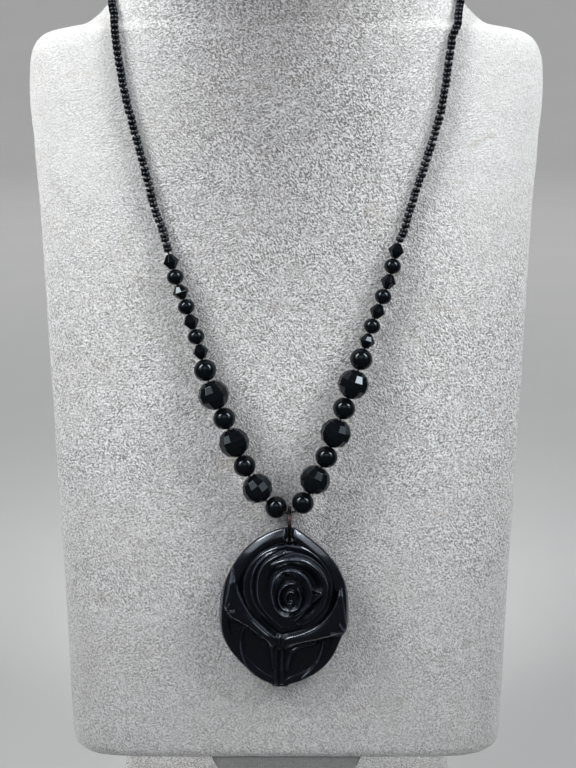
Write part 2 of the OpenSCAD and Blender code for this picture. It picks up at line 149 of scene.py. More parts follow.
def monotone(at: Points, knots: Points, values: Points) -> Points:
    """A smooth curve through values that makes no bumps of its own.

    A cubic on each stretch, whose slope at a knot is the harmonic mean of the two stretches'
    slopes, and zero where they differ in sign.

    Args:
        at: where the curve is read.
        knots: rising places of the values.
        values: one column for each quantity.

    Returns:
        One row for each place of at.
    """
    gap = np.diff(knots)[:, None]
    rise = np.diff(values, axis=0) / gap
    same = rise[1:] * rise[:-1] > 0
    mean = 2 * rise[1:] * rise[:-1] / np.where(same, rise[1:] + rise[:-1], 1.0)
    slope = np.vstack([rise[:1], np.where(same, mean, 0.0), rise[-1:]])
    k = np.clip(np.searchsorted(knots, at, side="right") - 1, 0, len(knots) - 2)
    h = gap[k]
    t = ((at - knots[k])[:, None]) / h
    start = (1 + 2 * t) * (1 - t) ** 2 * values[k] + t * (1 - t) ** 2 * h * slope[k]
    end = t**2 * (3 - 2 * t) * values[k + 1] + t**2 * (t - 1) * h * slope[k + 1]
    return start + end


def square_to(way: Points, v: Points) -> Points:
    """Unit vectors of what is left of v when its share along a way is taken off."""
    return unit(v - np.sum(v * way, axis=-1, keepdims=True) * way)


def bell(distance: Points, width: float) -> Points:
    """One on a line, falling smoothly to nothing over about two widths."""
    return np.exp(-((distance / width) ** 2))


def lattice_noise(u: Points, v: Points, cell: tuple[float, float], seed: int) -> Points:
    """Smooth seeded noise from minus one to one over two coordinates.

    Random values on a lattice, blended between its knots by three t squared minus two t cubed.

    Args:
        u: first coordinate of each place.
        v: second coordinate of each place.
        cell: size of the lattice's cells in both coordinates.
        seed: which random lattice.

    Returns:
        The noise at each place.
    """
    wrap = 256
    table = np.random.default_rng(seed).uniform(-1, 1, (wrap, wrap))
    x, y = u / cell[0], v / cell[1]
    i, j = np.floor(x).astype(int), np.floor(y).astype(int)
    s, t = x - i, y - j
    s, t = s * s * (3 - 2 * s), t * t * (3 - 2 * t)
    i, j, right, up = i % wrap, j % wrap, (i + 1) % wrap, (j + 1) % wrap
    near = table[i, j] * (1 - s) + table[right, j] * s
    far = table[i, up] * (1 - s) + table[right, up] * s
    return near * (1 - t) + far * t


@dataclass
class Skin:
    """A mesh in the making: points in millimetres, faces as rows of point numbers."""

    points: Points
    quads: Points
    fans: Points = field(default_factory=lambda: np.zeros((0, 3), int))

    def facing_out(self) -> "Skin":
        """Turns the faces, if need be, so that the skin holds a volume above zero.

        Returns:
            The skin, facing out.
        """
        q, p = self.quads, self.points
        corners = np.vstack([q[:, [0, 1, 2]], q[:, [0, 2, 3]], self.fans])
        a, b, c = (p[corners[:, k]] for k in range(3))
        if np.einsum("ij,ij->", a, np.cross(b, c)) < 0:
            return Skin(p, q[:, ::-1], self.fans[:, ::-1])
        return self


def skin_over(rings: Points, looped: bool = False) -> Skin:
    """A closed skin over rings of points.

    Every ring closes on itself. Looped, the last ring joins the first; otherwise each end is
    closed by a fan to its middle.

    Args:
        rings: array of rings, points in a ring, and three coordinates.
        looped: whether the rings themselves go round.

    Returns:
        The skin, facing out.
    """
    m, n = rings.shape[:2]
    points = rings.reshape(-1, 3)
    i = np.arange(m if looped else m - 1)[:, None]
    j = np.arange(n)[None, :]
    here, on = i * n, ((i + 1) % m) * n
    quads = np.stack([here + j, here + (j + 1) % n, on + (j + 1) % n, on + j], axis=-1).reshape(-1, 4)
    if looped:
        return Skin(points, quads).facing_out()
    points = np.vstack([points, rings[0].mean(axis=0), rings[-1].mean(axis=0)])
    j = np.arange(n)
    first = np.stack([np.full(n, m * n), (j + 1) % n, j], axis=1)
    last = np.stack([np.full(n, m * n + 1), (m - 1) * n + j, (m - 1) * n + (j + 1) % n], axis=1)
    return Skin(points, quads, np.vstack([first, last])).facing_out()


def full_turn(steps: int) -> Points:
    """The angles of evenly spaced steps round a circle."""
    return np.arange(steps) * 2 * math.pi / steps


def turned(profile: Points, sides: int, spin: float = 0.0) -> Points:
    """Rings of a profile turned round the third axis.

    Each has the radius times the turn's cosine and sine, and the place along the axis.

    Args:
        profile: rows of radius and place along the axis.
        sides: how many points a ring has.
        spin: the first point's angle.

    Returns:
        Array of rings, points in a ring, and three coordinates.
    """
    angle = spin + full_turn(sides)
    r, s = profile[:, :1], profile[:, 1:]
    return np.stack([r * np.cos(angle), r * np.sin(angle), np.broadcast_to(s, (len(r), sides))], -1)


def normals_of(rings: Points) -> Points:
    """Unit normals of a grid whose rings close: the cross product of its two tangents."""
    around = np.roll(rings, -1, axis=1) - np.roll(rings, 1, axis=1)
    return unit(np.cross(around, np.gradient(rings, axis=0)))


# Materials: a socket that sums can be written with, a sheet of nodes, and the finishes.


class Wire:
    """An output socket that sums can be written with; each operator adds its Math node."""

    def __init__(self, sheet: "NodeSheet", socket: bpy.types.NodeSocket) -> None:
        """Holds the socket and the sheet that it belongs to."""
        self.sheet = sheet
        self.socket = socket

    def _math(self, operation: str, first: object, second: object) -> "Wire":
        """A Math node on two wires or numbers."""
        return self.sheet.node("ShaderNodeMath", {"operation": operation}, {0: first, 1: second})

    def __add__(self, other: object) -> "Wire":
        """This wire plus another wire or number."""
        return self._math("ADD", self, other)

    def __sub__(self, other: object) -> "Wire":
        """This wire minus another wire or number."""
        return self._math("SUBTRACT", self, other)

    def __rsub__(self, other: object) -> "Wire":
        """A number minus this wire."""
        return self._math("SUBTRACT", other, self)

    def __mul__(self, other: object) -> "Wire":
        """This wire times another wire or number."""
        return self._math("MULTIPLY", self, other)

    __radd__ = __add__
    __rmul__ = __mul__


class NodeSheet:
    """The nodes of one material, with a surface shader and what feeds it."""

    def __init__(self, name: str) -> None:
        """Starts a material without nodes.

        Args:
            name: the material's name.
        """
        self.material = bpy.data.materials.new(name)
        self.material.use_nodes = True
        self.tree = self.material.node_tree
        self.tree.nodes.clear()

    def node(self, kind: str, settings: dict | None = None, sockets: dict | None = None,
             output: int | str = 0) -> Wire | None:
        """Adds a node.

        Args:
            kind: the node's type.
            settings: its own settings, set first.
            sockets: a value or a wire for each socket, by name or number.
            output: which output is wanted.

        Returns:
            The wanted output as a wire, or none for a node that has no outputs.
        """
        made = self.tree.nodes.new(kind)
        for name, value in (settings or {}).items():
            setattr(made, name, value)
        for key, value in (sockets or {}).items():
            if isinstance(value, Wire):
                self.tree.links.new(value.socket, made.inputs[key])
            else:
                made.inputs[key].default_value = value
        return Wire(self, made.outputs[output]) if len(made.outputs) else None

    def place(self) -> Wire:
        """Object coordinates, in metres."""
        return self.node("ShaderNodeTexCoord", output="Object")

    def turned_place(self, angle: float) -> Wire:
        """Object coordinates turned by an angle round the y axis."""
        sockets = {"Vector": self.place(), "Angle": angle}
        return self.node("ShaderNodeVectorRotate", {"rotation_type": "Y_AXIS"}, sockets)

    def mark(self, name: str) -> Wire:
        """A piece's own number at each point, as a value."""
        return self.node("ShaderNodeAttribute", {"attribute_name": name}, output="Fac")

    def noise(self, grain: float, detail: float = 3.0, stretch: tuple = (1.0, 1.0, 1.0),
              twist: float = 0.0, at: Wire | None = None) -> Wire:
        """Noise from 0 to 1.

        Args:
            grain: size of its features in millimetres.
            detail: how many finer layers it has.
            stretch: how much longer the features are along each axis.
            twist: how much it is distorted.
            at: coordinates, or none for the object's own.

        Returns:
            The noise as a value.
        """
        scale = tuple(1 / s for s in stretch)
        spread = self.node("ShaderNodeMapping", None, {"Vector": at or self.place(), "Scale": scale})
        return self.node(
            "ShaderNodeTexNoise",
            None,
            {"Vector": spread, "Scale": 1 / (grain * MM), "Detail": detail, "Distortion": twist},
        )

    def spread(self, value: Wire, low: float, high: float) -> Wire:
        """A value's stretch from low to high drawn out to 0 to 1, and held there beyond."""
        return self.node("ShaderNodeMapRange", None, {0: value, 1: low, 2: high, 3: 0.0, 4: 1.0})

    def mix(self, share: Wire | float, first: object, second: object, blend: str = "MIX") -> Wire:
        """One colour turning into another by a share, or multiplied by it."""
        settings = {"data_type": "RGBA", "blend_type": blend}
        return self.node("ShaderNodeMix", settings, {0: share, 6: first, 7: second}, output=2)

    def bump(self, height: Wire, depth: float, strength: float = 1.0) -> Wire:
        """A normal bent by a height, whose full range is a depth in millimetres."""
        sockets = {"Height": height, "Distance": depth * MM, "Strength": strength}
        return self.node("ShaderNodeBump", None, sockets)

    def surface(self, sockets: dict) -> bpy.types.Material:
        """Ends the material with one Principled shader.

        Args:
            sockets: a value or a wire for each of the shader's sockets.

        Returns:
            The material.
        """
        shader = self.node("ShaderNodeBsdfPrincipled", None, sockets)
        self.node("ShaderNodeOutputMaterial", None, {"Surface": shader})
        return self.material


def rgb(red: float, green: float, blue: float) -> tuple[float, float, float, float]:
    """An opaque colour in linear light."""
    return (red, green, blue, 1.0)


@dataclass(frozen=True)
class PolishedOnyx:
    """Polished opaque black stone, with faint smears from handling."""

    name: str
    gloss: float = 0.05
    smear: float = 0.09
    wave: float = 0.012
    index: float = 1.33
    deep: tuple = rgb(0.002, 0.0028, 0.0036)

    def material(self) -> bpy.types.Material:
        """Builds the finish.

        Returns:
            The material.
        """
        sheet = NodeSheet(self.name)
        smears = sheet.spread(sheet.noise(1.6, 4, twist=0.6), 0.45, 0.8)
        cloud = sheet.noise(5.0, 2)
        return sheet.surface({
            "Base Color": sheet.mix(cloud * 0.5, self.deep, rgb(0.006, 0.007, 0.009)),
            "Roughness": self.gloss + smears * self.smear,
            "IOR": self.index,
            "Specular Tint": rgb(0.78, 0.92, 1.0),
            "Normal": sheet.bump(sheet.noise(2.2, 2), self.wave),
        })


@dataclass(frozen=True)
class CarvedOnyx:
    """Black stone carved and polished: a touch of blue, dull hollows, and crests painted paler grey, partly as
    wear and partly as painted highlight.
    """

    name: str
    deep: tuple = rgb(0.0018, 0.0024, 0.0045)
    worn: tuple = rgb(0.042, 0.049, 0.066)

    def material(self) -> bpy.types.Material:
        """Builds the finish from the marks hollow, at the bottom of a cut, and edge, on a crest, which carries the
        paler grey of wear and painted highlight.

        Returns:
            The material.
        """
        sheet = NodeSheet(self.name)
        hollow, edge = sheet.mark("hollow"), sheet.mark("edge")
        smears = sheet.spread(sheet.noise(2.4, 4, twist=0.5), 0.42, 0.8)
        scratches = sheet.noise(0.35, 2, stretch=(5.0, 1.0, 1.0), twist=0.4)
        patchy = sheet.spread(sheet.noise(3.5, 3, twist=0.4), 0.3, 0.6)
        return sheet.surface({
            # painted highlight and wear: paler grey on the crests, in patches
            "Base Color": sheet.mix(edge * patchy, self.deep, self.worn),
            "Roughness": 0.2 + smears * 0.12 + hollow * 0.25,
            "IOR": 1.48,
            "Specular Tint": rgb(0.76, 0.86, 1.0),
            "Coat Weight": 0.75 - hollow * 0.6,
            "Coat Roughness": 0.06,
            "Coat IOR": 1.42,
            "Normal": sheet.bump(sheet.noise(1.8, 2) * 0.8 + scratches * 0.2, 0.02),
        })


@dataclass(frozen=True)
class SeedGlass:
    """Opaque black glass, each bead a little different by the mark tone."""

    name: str

    def material(self) -> bpy.types.Material:
        """Builds the finish.

        Returns:
            The material.
        """
        sheet = NodeSheet(self.name)
        tone = sheet.mark("tone")
        return sheet.surface({
            "Base Color": sheet.mix(tone, rgb(0.003, 0.003, 0.004), rgb(0.01, 0.01, 0.013)),
            "Roughness": 0.08 + tone * 0.12,
            "IOR": 1.38,
            "Specular Tint": rgb(0.78, 0.92, 1.0),
            "Normal": sheet.bump(sheet.noise(0.5, 2), 0.01),
        })


@dataclass(frozen=True)
class Gunmetal:
    """Dark plated wire, worn to copper here and there."""

    name: str

    def material(self) -> bpy.types.Material:
        """Builds the finish.

        Returns:
            The material.
        """
        sheet = NodeSheet(self.name)
        worn = sheet.spread(sheet.noise(1.4, 4, twist=0.4), 0.42, 0.72)
        drawn = sheet.noise(0.12, 2, stretch=(1.0, 6.0, 6.0))
        return sheet.surface({
            "Base Color": sheet.mix(worn, rgb(0.024, 0.02, 0.021), rgb(0.05, 0.03, 0.028)),
            "Metallic": 1.0,
            "Roughness": 0.28 + worn * 0.14 + drawn * 0.05,
            "Normal": sheet.bump(drawn, 0.006),
        })


@dataclass(frozen=True)
class Plush:
    """Short nap that leans this way and that, with faint stains, and painted light and shade."""

    name: str
    dark: tuple = rgb(0.215, 0.203, 0.193)
    light: tuple = rgb(0.91, 0.91, 0.915)
    nap: float = 0.4
    depth: float = 0.2
    stain: float = 1.0

    def material(self) -> bpy.types.Material:
        """Builds the finish: grains that turn from place to place, a cloudy tone, stains, and painted light and
        shade.

        One mark is 1 where the nap is painted palest and evenest, and lies smooth, on the shoulders; the other,
        painted shade, is 1 where it is darkest.

        Returns:
            The material.
        """
        sheet = NodeSheet(self.name)
        rising, falling = (
            sheet.noise(self.nap, 1, stretch=(1.0, 1.0, 1.6), twist=0.45, at=sheet.turned_place(way))
            for way in (0.6, -0.95)
        )
        swirl = sheet.spread(sheet.noise(22, 2, twist=0.8), 0.38, 0.62)
        strands = rising * (1 - swirl) + falling * swirl
        clumps = sheet.noise(2.6, 2, twist=0.5)
        lit = sheet.spread(strands * 0.91 + clumps * 0.09, 0.357, 0.622)
        smooth_lit_nap = sheet.mark("smooth_lit_nap")
        tone = sheet.mix(lit, self.dark, self.light)
        # painted highlight: the nap's colour drawn towards a pale, even grey on the shoulders
        tone = sheet.mix(smooth_lit_nap * 0.7, tone, rgb(0.735, 0.735, 0.72))
        warm = sheet.mix(sheet.spread(sheet.noise(30, 2), 0.4, 0.7) * 0.2, tone, rgb(0.6, 0.57, 0.53))
        soiled = sheet.spread(sheet.noise(11, 3, stretch=(1.0, 1.0, 0.6), twist=1.2), 0.62, 0.8)
        stained = sheet.mix(soiled * (0.45 * self.stain), warm, rgb(0.44, 0.38, 0.31))
        return sheet.surface({
            # painted shade: multiplied darker on the neck's front, down the chest and at the lower edge
            "Base Color": sheet.mix(sheet.mark("painted_shade"), stained, rgb(0.29, 0.285, 0.29), "MULTIPLY"),
            "Roughness": 0.88 + lit * 0.1,
            "Sheen Weight": 0.3,
            "Sheen Roughness": 0.45,
            "Specular IOR Level": 0.2,
            "Normal": sheet.bump(lit * (1 - smooth_lit_nap * 0.6), self.depth),
        })


@dataclass(frozen=True)
class WovenCover:
    """A fine, close-woven matte cloth glued over the stem."""

    name: str
    shade: tuple = rgb(0.315, 0.311, 0.303)

    def material(self) -> bpy.types.Material:
        """Builds the finish: two sets of threads crossing, and rubbed places.

        Returns:
            The material.
        """
        sheet = NodeSheet(self.name)
        thread = {"bands_direction": "X"}, {"bands_direction": "Z"}
        warp, weft = (
            sheet.node(
                "ShaderNodeTexWave",
                way,
                {"Vector": sheet.place(), "Scale": 620.0, "Distortion": 1.2, "Detail": 1.0},
                output="Fac",
            )
            for way in thread
        )
        weave = warp * 0.5 + weft * 0.5
        rubbed = sheet.spread(sheet.noise(9, 4, twist=0.5), 0.5, 0.75)
        lint = sheet.spread(sheet.noise(0.6, 3, twist=0.6), 0.38, 0.62)
        dark = rgb(*(0.5 * c for c in self.shade[:3]))
        return sheet.surface({
            "Base Color": sheet.mix(weave * 0.5 + rubbed * 0.2 + lint * 0.3, dark, self.shade),
            "Roughness": 0.8 + rubbed * 0.12,
            "Sheen Weight": 0.15,
            "Specular IOR Level": 0.25,
            "Normal": sheet.bump(weave, 0.08, 0.7),
        })


@dataclass(frozen=True)
class WaxedThread:
    """Black beading thread, its plies catching a dull light."""

    name: str

    def material(self) -> bpy.types.Material:
        """Builds the finish.

        Returns:
            The material.
        """
        sheet = NodeSheet(self.name)
        fibre = sheet.noise(0.08, 2, stretch=(4.0, 1.0, 1.0))
        return sheet.surface({
            "Base Color": sheet.mix(fibre, rgb(0.01, 0.01, 0.011), rgb(0.035, 0.035, 0.038)),
            "Roughness": 0.45 + fibre * 0.2,
            "Normal": sheet.bump(fibre, 0.01),
        })


class Finishes:
    """One material of each finish, and which slot wears it."""

    def __init__(self) -> None:
        """Builds every material."""
        made = {
            Slot.BUST: Plush("bust_plush_nap"),
            Slot.STEM: WovenCover("stem_cloth"),
            Slot.BASE: Plush("base_plush_nap", stain=0.3),
            Slot.THREAD: WaxedThread("waxed_thread"),
            Slot.SEEDS: SeedGlass("seed_glass_black"),
            Slot.ROUND: PolishedOnyx("onyx_polished_round"),
            Slot.FACETED: PolishedOnyx("onyx_polished_facets", 0.035, 0.05, 0.004, 1.42),
            Slot.BICONE: PolishedOnyx("glass_double_cone", 0.04, 0.05, 0.003),
            Slot.CARVED: CarvedOnyx("onyx_carved_rose"),
            Slot.METAL: Gunmetal("gunmetal_plating"),
        }
        self.by_slot = {slot: finish.material() for slot, finish in made.items()}

    def dress(self, piece: bpy.types.Object, slot: Slot) -> None:
        """Puts a slot's material on every face of a piece."""
        piece.data.materials.clear()
        piece.data.materials.append(self.by_slot[slot])

    def dress_nodes(self) -> None:
        """Gives every CAD node its slot's material, also where a finer piece stands for it."""
        for part in frame["record"]["subparts"]:
            self.dress(frame["nodes"][part["node"]], Slot(part["material_slot"]))


# The pieces, each sub-assembly a class of its own.


@dataclass
class Workshop:
    """Makes pieces out of skins and puts them where they belong."""

    finishes: Finishes

    def mesh_piece(self, name: str, skin: Skin, smooth: bool = True,
                   marks: dict[str, Points] | None = None) -> bpy.types.Object:
        """A mesh object at the origin.

        Args:
            name: the piece's name.
            skin: its points in millimetres, and its faces.
            smooth: whether its faces are shaded as one surface.
            marks: numbers for each point, by name.

        Returns:
            The object, in the scene.
        """
        mesh = bpy.data.meshes.new(name)
        faces = skin.quads.tolist() + skin.fans.tolist()
        mesh.from_pydata((skin.points * MM).tolist(), [], faces)
        mesh.polygons.foreach_set("use_smooth", np.full(len(faces), smooth))
        for mark, values in (marks or {}).items():
            layer = mesh.attributes.new(mark, "FLOAT", "POINT")
            layer.data.foreach_set("value", np.asarray(values, np.float32))
        piece = bpy.data.objects.new(name, mesh)
        bpy.context.scene.collection.objects.link(piece)
        return piece

    @staticmethod
    def clear_slivers(mesh: bpy.types.Mesh, width: float = 0.001) -> None:
        """Takes the faces without area out of a cut mesh, and parts its many-sided faces.

        Args:
            mesh: the mesh.
            width: edges shorter than this go, and faces narrower than this.
        """
        shape = bmesh.new()
        shape.from_mesh(mesh)
        bmesh.ops.dissolve_degenerate(shape, dist=width * MM, edges=shape.edges[:])
        many_sided = [face for face in shape.faces if len(face.verts) > 4]
        bmesh.ops.triangulate(shape, faces=many_sided, ngon_method="BEAUTY")
        shape.to_mesh(mesh)
        shape.free()

    def settle(self, piece: bpy.types.Object, slot: Slot, body: Body, *nodes: str) -> None:
        """Dresses a finished piece in its slot's material, ties it to its body, and hides the nodes it stands for.

        Args:
            piece: the piece.
            slot: its material slot.
            body: the body that it rides on.
            nodes: names of the CAD nodes that it stands for.
        """
        self.finishes.dress(piece, slot)
        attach(piece, body.value)
        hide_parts(*nodes)
        log.info("%s: %d faces, for %s", piece.name, len(piece.data.polygons), ", ".join(nodes))


@dataclass(frozen=True)
class LeaningFrame:
    """The bust's own frame: x to the right, y into the bust, z up along it from its lower edge."""

    lean: float = math.radians(8)
    foot: tuple[float, float, float] = (0.0, -25.0, 45.0)

    def _axes(self) -> Points:
        """The frame's three axes in the world, one a row."""
        c, s = math.cos(self.lean), math.sin(self.lean)
        return np.array([[1, 0, 0], [0, c, -s], [0, s, c]])

    def to_world(self, points: Points) -> Points:
        """Places in the bust's frame, given in the world."""
        return points @ self._axes() + np.array(self.foot)

    def from_world(self, points: Points) -> Points:
        """Places in the world, given in the bust's frame."""
        return (points - np.array(self.foot)) @ self._axes().T


def node_centre(node: str) -> Points:
    """Middle of a CAD node's box, in millimetres in the world."""
    low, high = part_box(node)
    return np.array((low + high) / 2) / MM


def joint_place(name: str) -> Points:
    """Middle of a joint's axis at rest, in millimetres in the world."""
    joint = next(joint for joint in frame["joints"] if joint["name"] == name)
    return np.array(joint["pos_m"]) / MM


@dataclass
class BustForm:
    """The flat neck bust: a board-like chest under a neck, covered in plush."""

    frame: LeaningFrame
    # height, half width, depth in front, depth behind, flatness of the front
    sections: tuple = (
        (0, 59, 8, 9, 10),
        (1.5, 62, 10.5, 12, 10),
        (4, 64, 11.5, 13.5, 10),
        (16, 64.6, 12.2, 14.5, 8),
        (51, 65.3, 12.7, 17, 6),
        (81, 66.2, 13, 19.5, 5),
        (121, 67.3, 13, 22, 4),
        (153, 68, 12.6, 24, 4),
        (180, 69.2, 12, 26, 4),
        (193, 69.9, 11.5, 27, 4),
        (200, 69.6, 11, 27.5, 4),
        (204, 68.7, 10.7, 28, 4),
        (206.7, 67, 10.4, 28, 4),
        (208.6, 64, 10.2, 28, 4),
        (209.8, 59, 10, 28, 3.5),
        (210.6, 54.6, 10, 28.5, 3.2),
        (212.7, 51.2, 10, 28.5, 3),
        (216.6, 47.3, 10, 29, 2.8),
        (221, 43.3, 10.3, 29, 2.6),
        (226, 40.4, 10.8, 29.5, 2.4),
        (232, 38.6, 11.5, 29.5, 2.3),
        (241, 37.6, 12.5, 29, 2.2),
        (253, 37.3, 14, 28, 2.2),
        (264, 37.5, 15.5, 27, 2.2),
        (266, 35.5, 13.5, 25, 2.2),
    )
    edge_power: float = 1 / 2.2
    back_flatness: float = 3.0
    row_gap: float = 1.15
    columns: int = 352
    nap_rise: float = 0.13

    def _table(self) -> Points:
        """The sections as an array."""
        return np.array(self.sections, float)

    def _fullness(self, share: Points, flatness: Points) -> Points:
        """How full a section is: one in the middle, falling as a flattened circle to the side."""
        return np.clip(1 - np.abs(share) ** flatness, 0, None) ** self.edge_power

    def chest_depth(self, x: Points, height: Points) -> Points:
        """Depth of the front over the bust's middle plane, by straight steps between sections.

        Args:
            x: places to the right of the middle.
            height: their heights from the lower edge.

        Returns:
            The depths.
        """
        h, half, front, _, flat = self._table().T
        share = x / np.interp(height, h, half)
        return np.interp(height, h, front) * self._fullness(share, np.interp(height, h, flat))

    def _ring(self, row: Points) -> Points:
        """One section's outline, its points evenly spaced along it.

        Across, it is the half width times the sine of the turn; the depths in front and behind
        are drawn in towards the sides by their fullness.

        Args:
            row: the section, as in sections.

        Returns:
            The points, from the middle of the front round to it.
        """
        height, half, front, back, flat = row
        turn = np.linspace(0, 2 * math.pi, 1441)
        share = np.sin(turn)
        full = np.where(
            np.cos(turn) > 0,
            front * self._fullness(share, flat),
            -back * self._fullness(share, self.back_flatness),
        )
        line = np.stack([half * share, -full, np.full_like(share, height)], axis=1)
        spots = np.arange(self.columns) / self.columns * distances(line)[-1]
        return spots_along(line, spots)

    def _rings(self) -> Points:
        """Sections drawn out smoothly along the profile, row_gap apart.

        Returns:
            Their outlines, from the lower edge up.
        """
        table = self._table()
        knots = distances(table[:, :2])
        at = np.linspace(0, knots[-1], int(knots[-1] / self.row_gap))
        rows = monotone(at, knots, table)
        return np.stack([self._ring(row) for row in rows])

    def _napped(self, rings: Points) -> Points:
        """Raises the nap's tufts: two sizes of noise, along the surface's normals.

        Args:
            rings: the smooth rings.

        Returns:
            The rings with tufts.
        """
        around = distances(rings[len(rings) // 2])[None, :]
        height = rings[:, :, 2]
        tufts = 0.6 * lattice_noise(around + 0 * height, height, (2.1, 3.3), SEED)
        tufts = tufts + 0.4 * lattice_noise(around + 0 * height, height, (6.0, 5.0), SEED + 1)
        normal = normals_of(rings)
        outward = np.sign(np.einsum("ijk,ijk->", normal, rings - rings.mean(axis=(0, 1))))
        return rings + outward * normal * (self.nap_rise * tufts)[:, :, None]

    def _closed(self, rings: Points) -> Points:
        """Draws both ends in to their middles: almost flat below, a little crowned above.

        The crown rises as one minus the square of what is left of the way in.

        Args:
            rings: the rings, open at both ends.

        Returns:
            The rings with those of both ends.
        """
        shares = np.array([0.0, 0.02, 0.06, 0.14, 0.28, 0.46, 0.66, 0.84])
        ends = []
        for ring, crown in ((rings[0], -0.6), (rings[-1], 1.6)):
            middle = ring.mean(axis=0)
            lift = crown * (1 - (1 - shares) ** 2)[:, None] * np.array([[0, 0, 1]])
            ends.append(ring + (middle - ring) * shares[:, None, None] + lift[:, None])
        return np.concatenate([ends[0][:0:-1], rings, ends[1][1:]])

    @staticmethod
    def _wear(points: Points) -> dict[str, Points]:
        """Where the nap's colour is painted paler and evener, and where painted shade darkens it.

        The nap is painted paler and evener, its bumps flattened, where light falls hard on the
        shoulders: a slope up past a height of 125 mm times one past 22 mm out, and half as much
        towards the lower edge. Painted shade is darkest on the neck's front, fading down the chest,
        4 mm left of its middle, to a height of 108 mm, and back round the neck's sides; there is
        more painted shade at the lower edge.

        Args:
            points: places in the bust's frame.

        Returns:
            The marks for the paler, evener nap and for the painted shade.
        """
        x, y, z = points.T
        # painted highlight: nap paler and evener on the shoulders, where light falls hard
        high = np.clip((z - 125) / 52, 0, 1)
        wide = np.clip((np.abs(x) - 22) / 30, 0, 1)
        # painted shade on the neck's front, fading down the chest
        chest = np.exp(-(((x + 4) / 32) ** 2)) * np.clip((z - 108) / 110, 0, 1)
        chest = chest * np.clip((4 - y) / 14, 0, 1)
        # towards the lower edge: more painted shade, and half the paler, evener nap
        low = np.clip((110 - z) / 90, 0, 1)
        return {"smooth_lit_nap": np.maximum(high * wide, 0.48 * low), "painted_shade": 0.84 * chest + 0.38 * low}

    def build(self, shop: Workshop) -> None:
        """Builds the bust.

        Args:
            shop: makes the piece and settles it.
        """
        rings = self._closed(self._napped(self._rings()))
        skin = skin_over(self.frame.to_world(rings))
        marks = self._wear(self.frame.from_world(skin.points))
        piece = shop.mesh_piece("bust_skin", skin, marks=marks)
        shop.settle(piece, Slot.BUST, Body.STAND, "neck_bust")


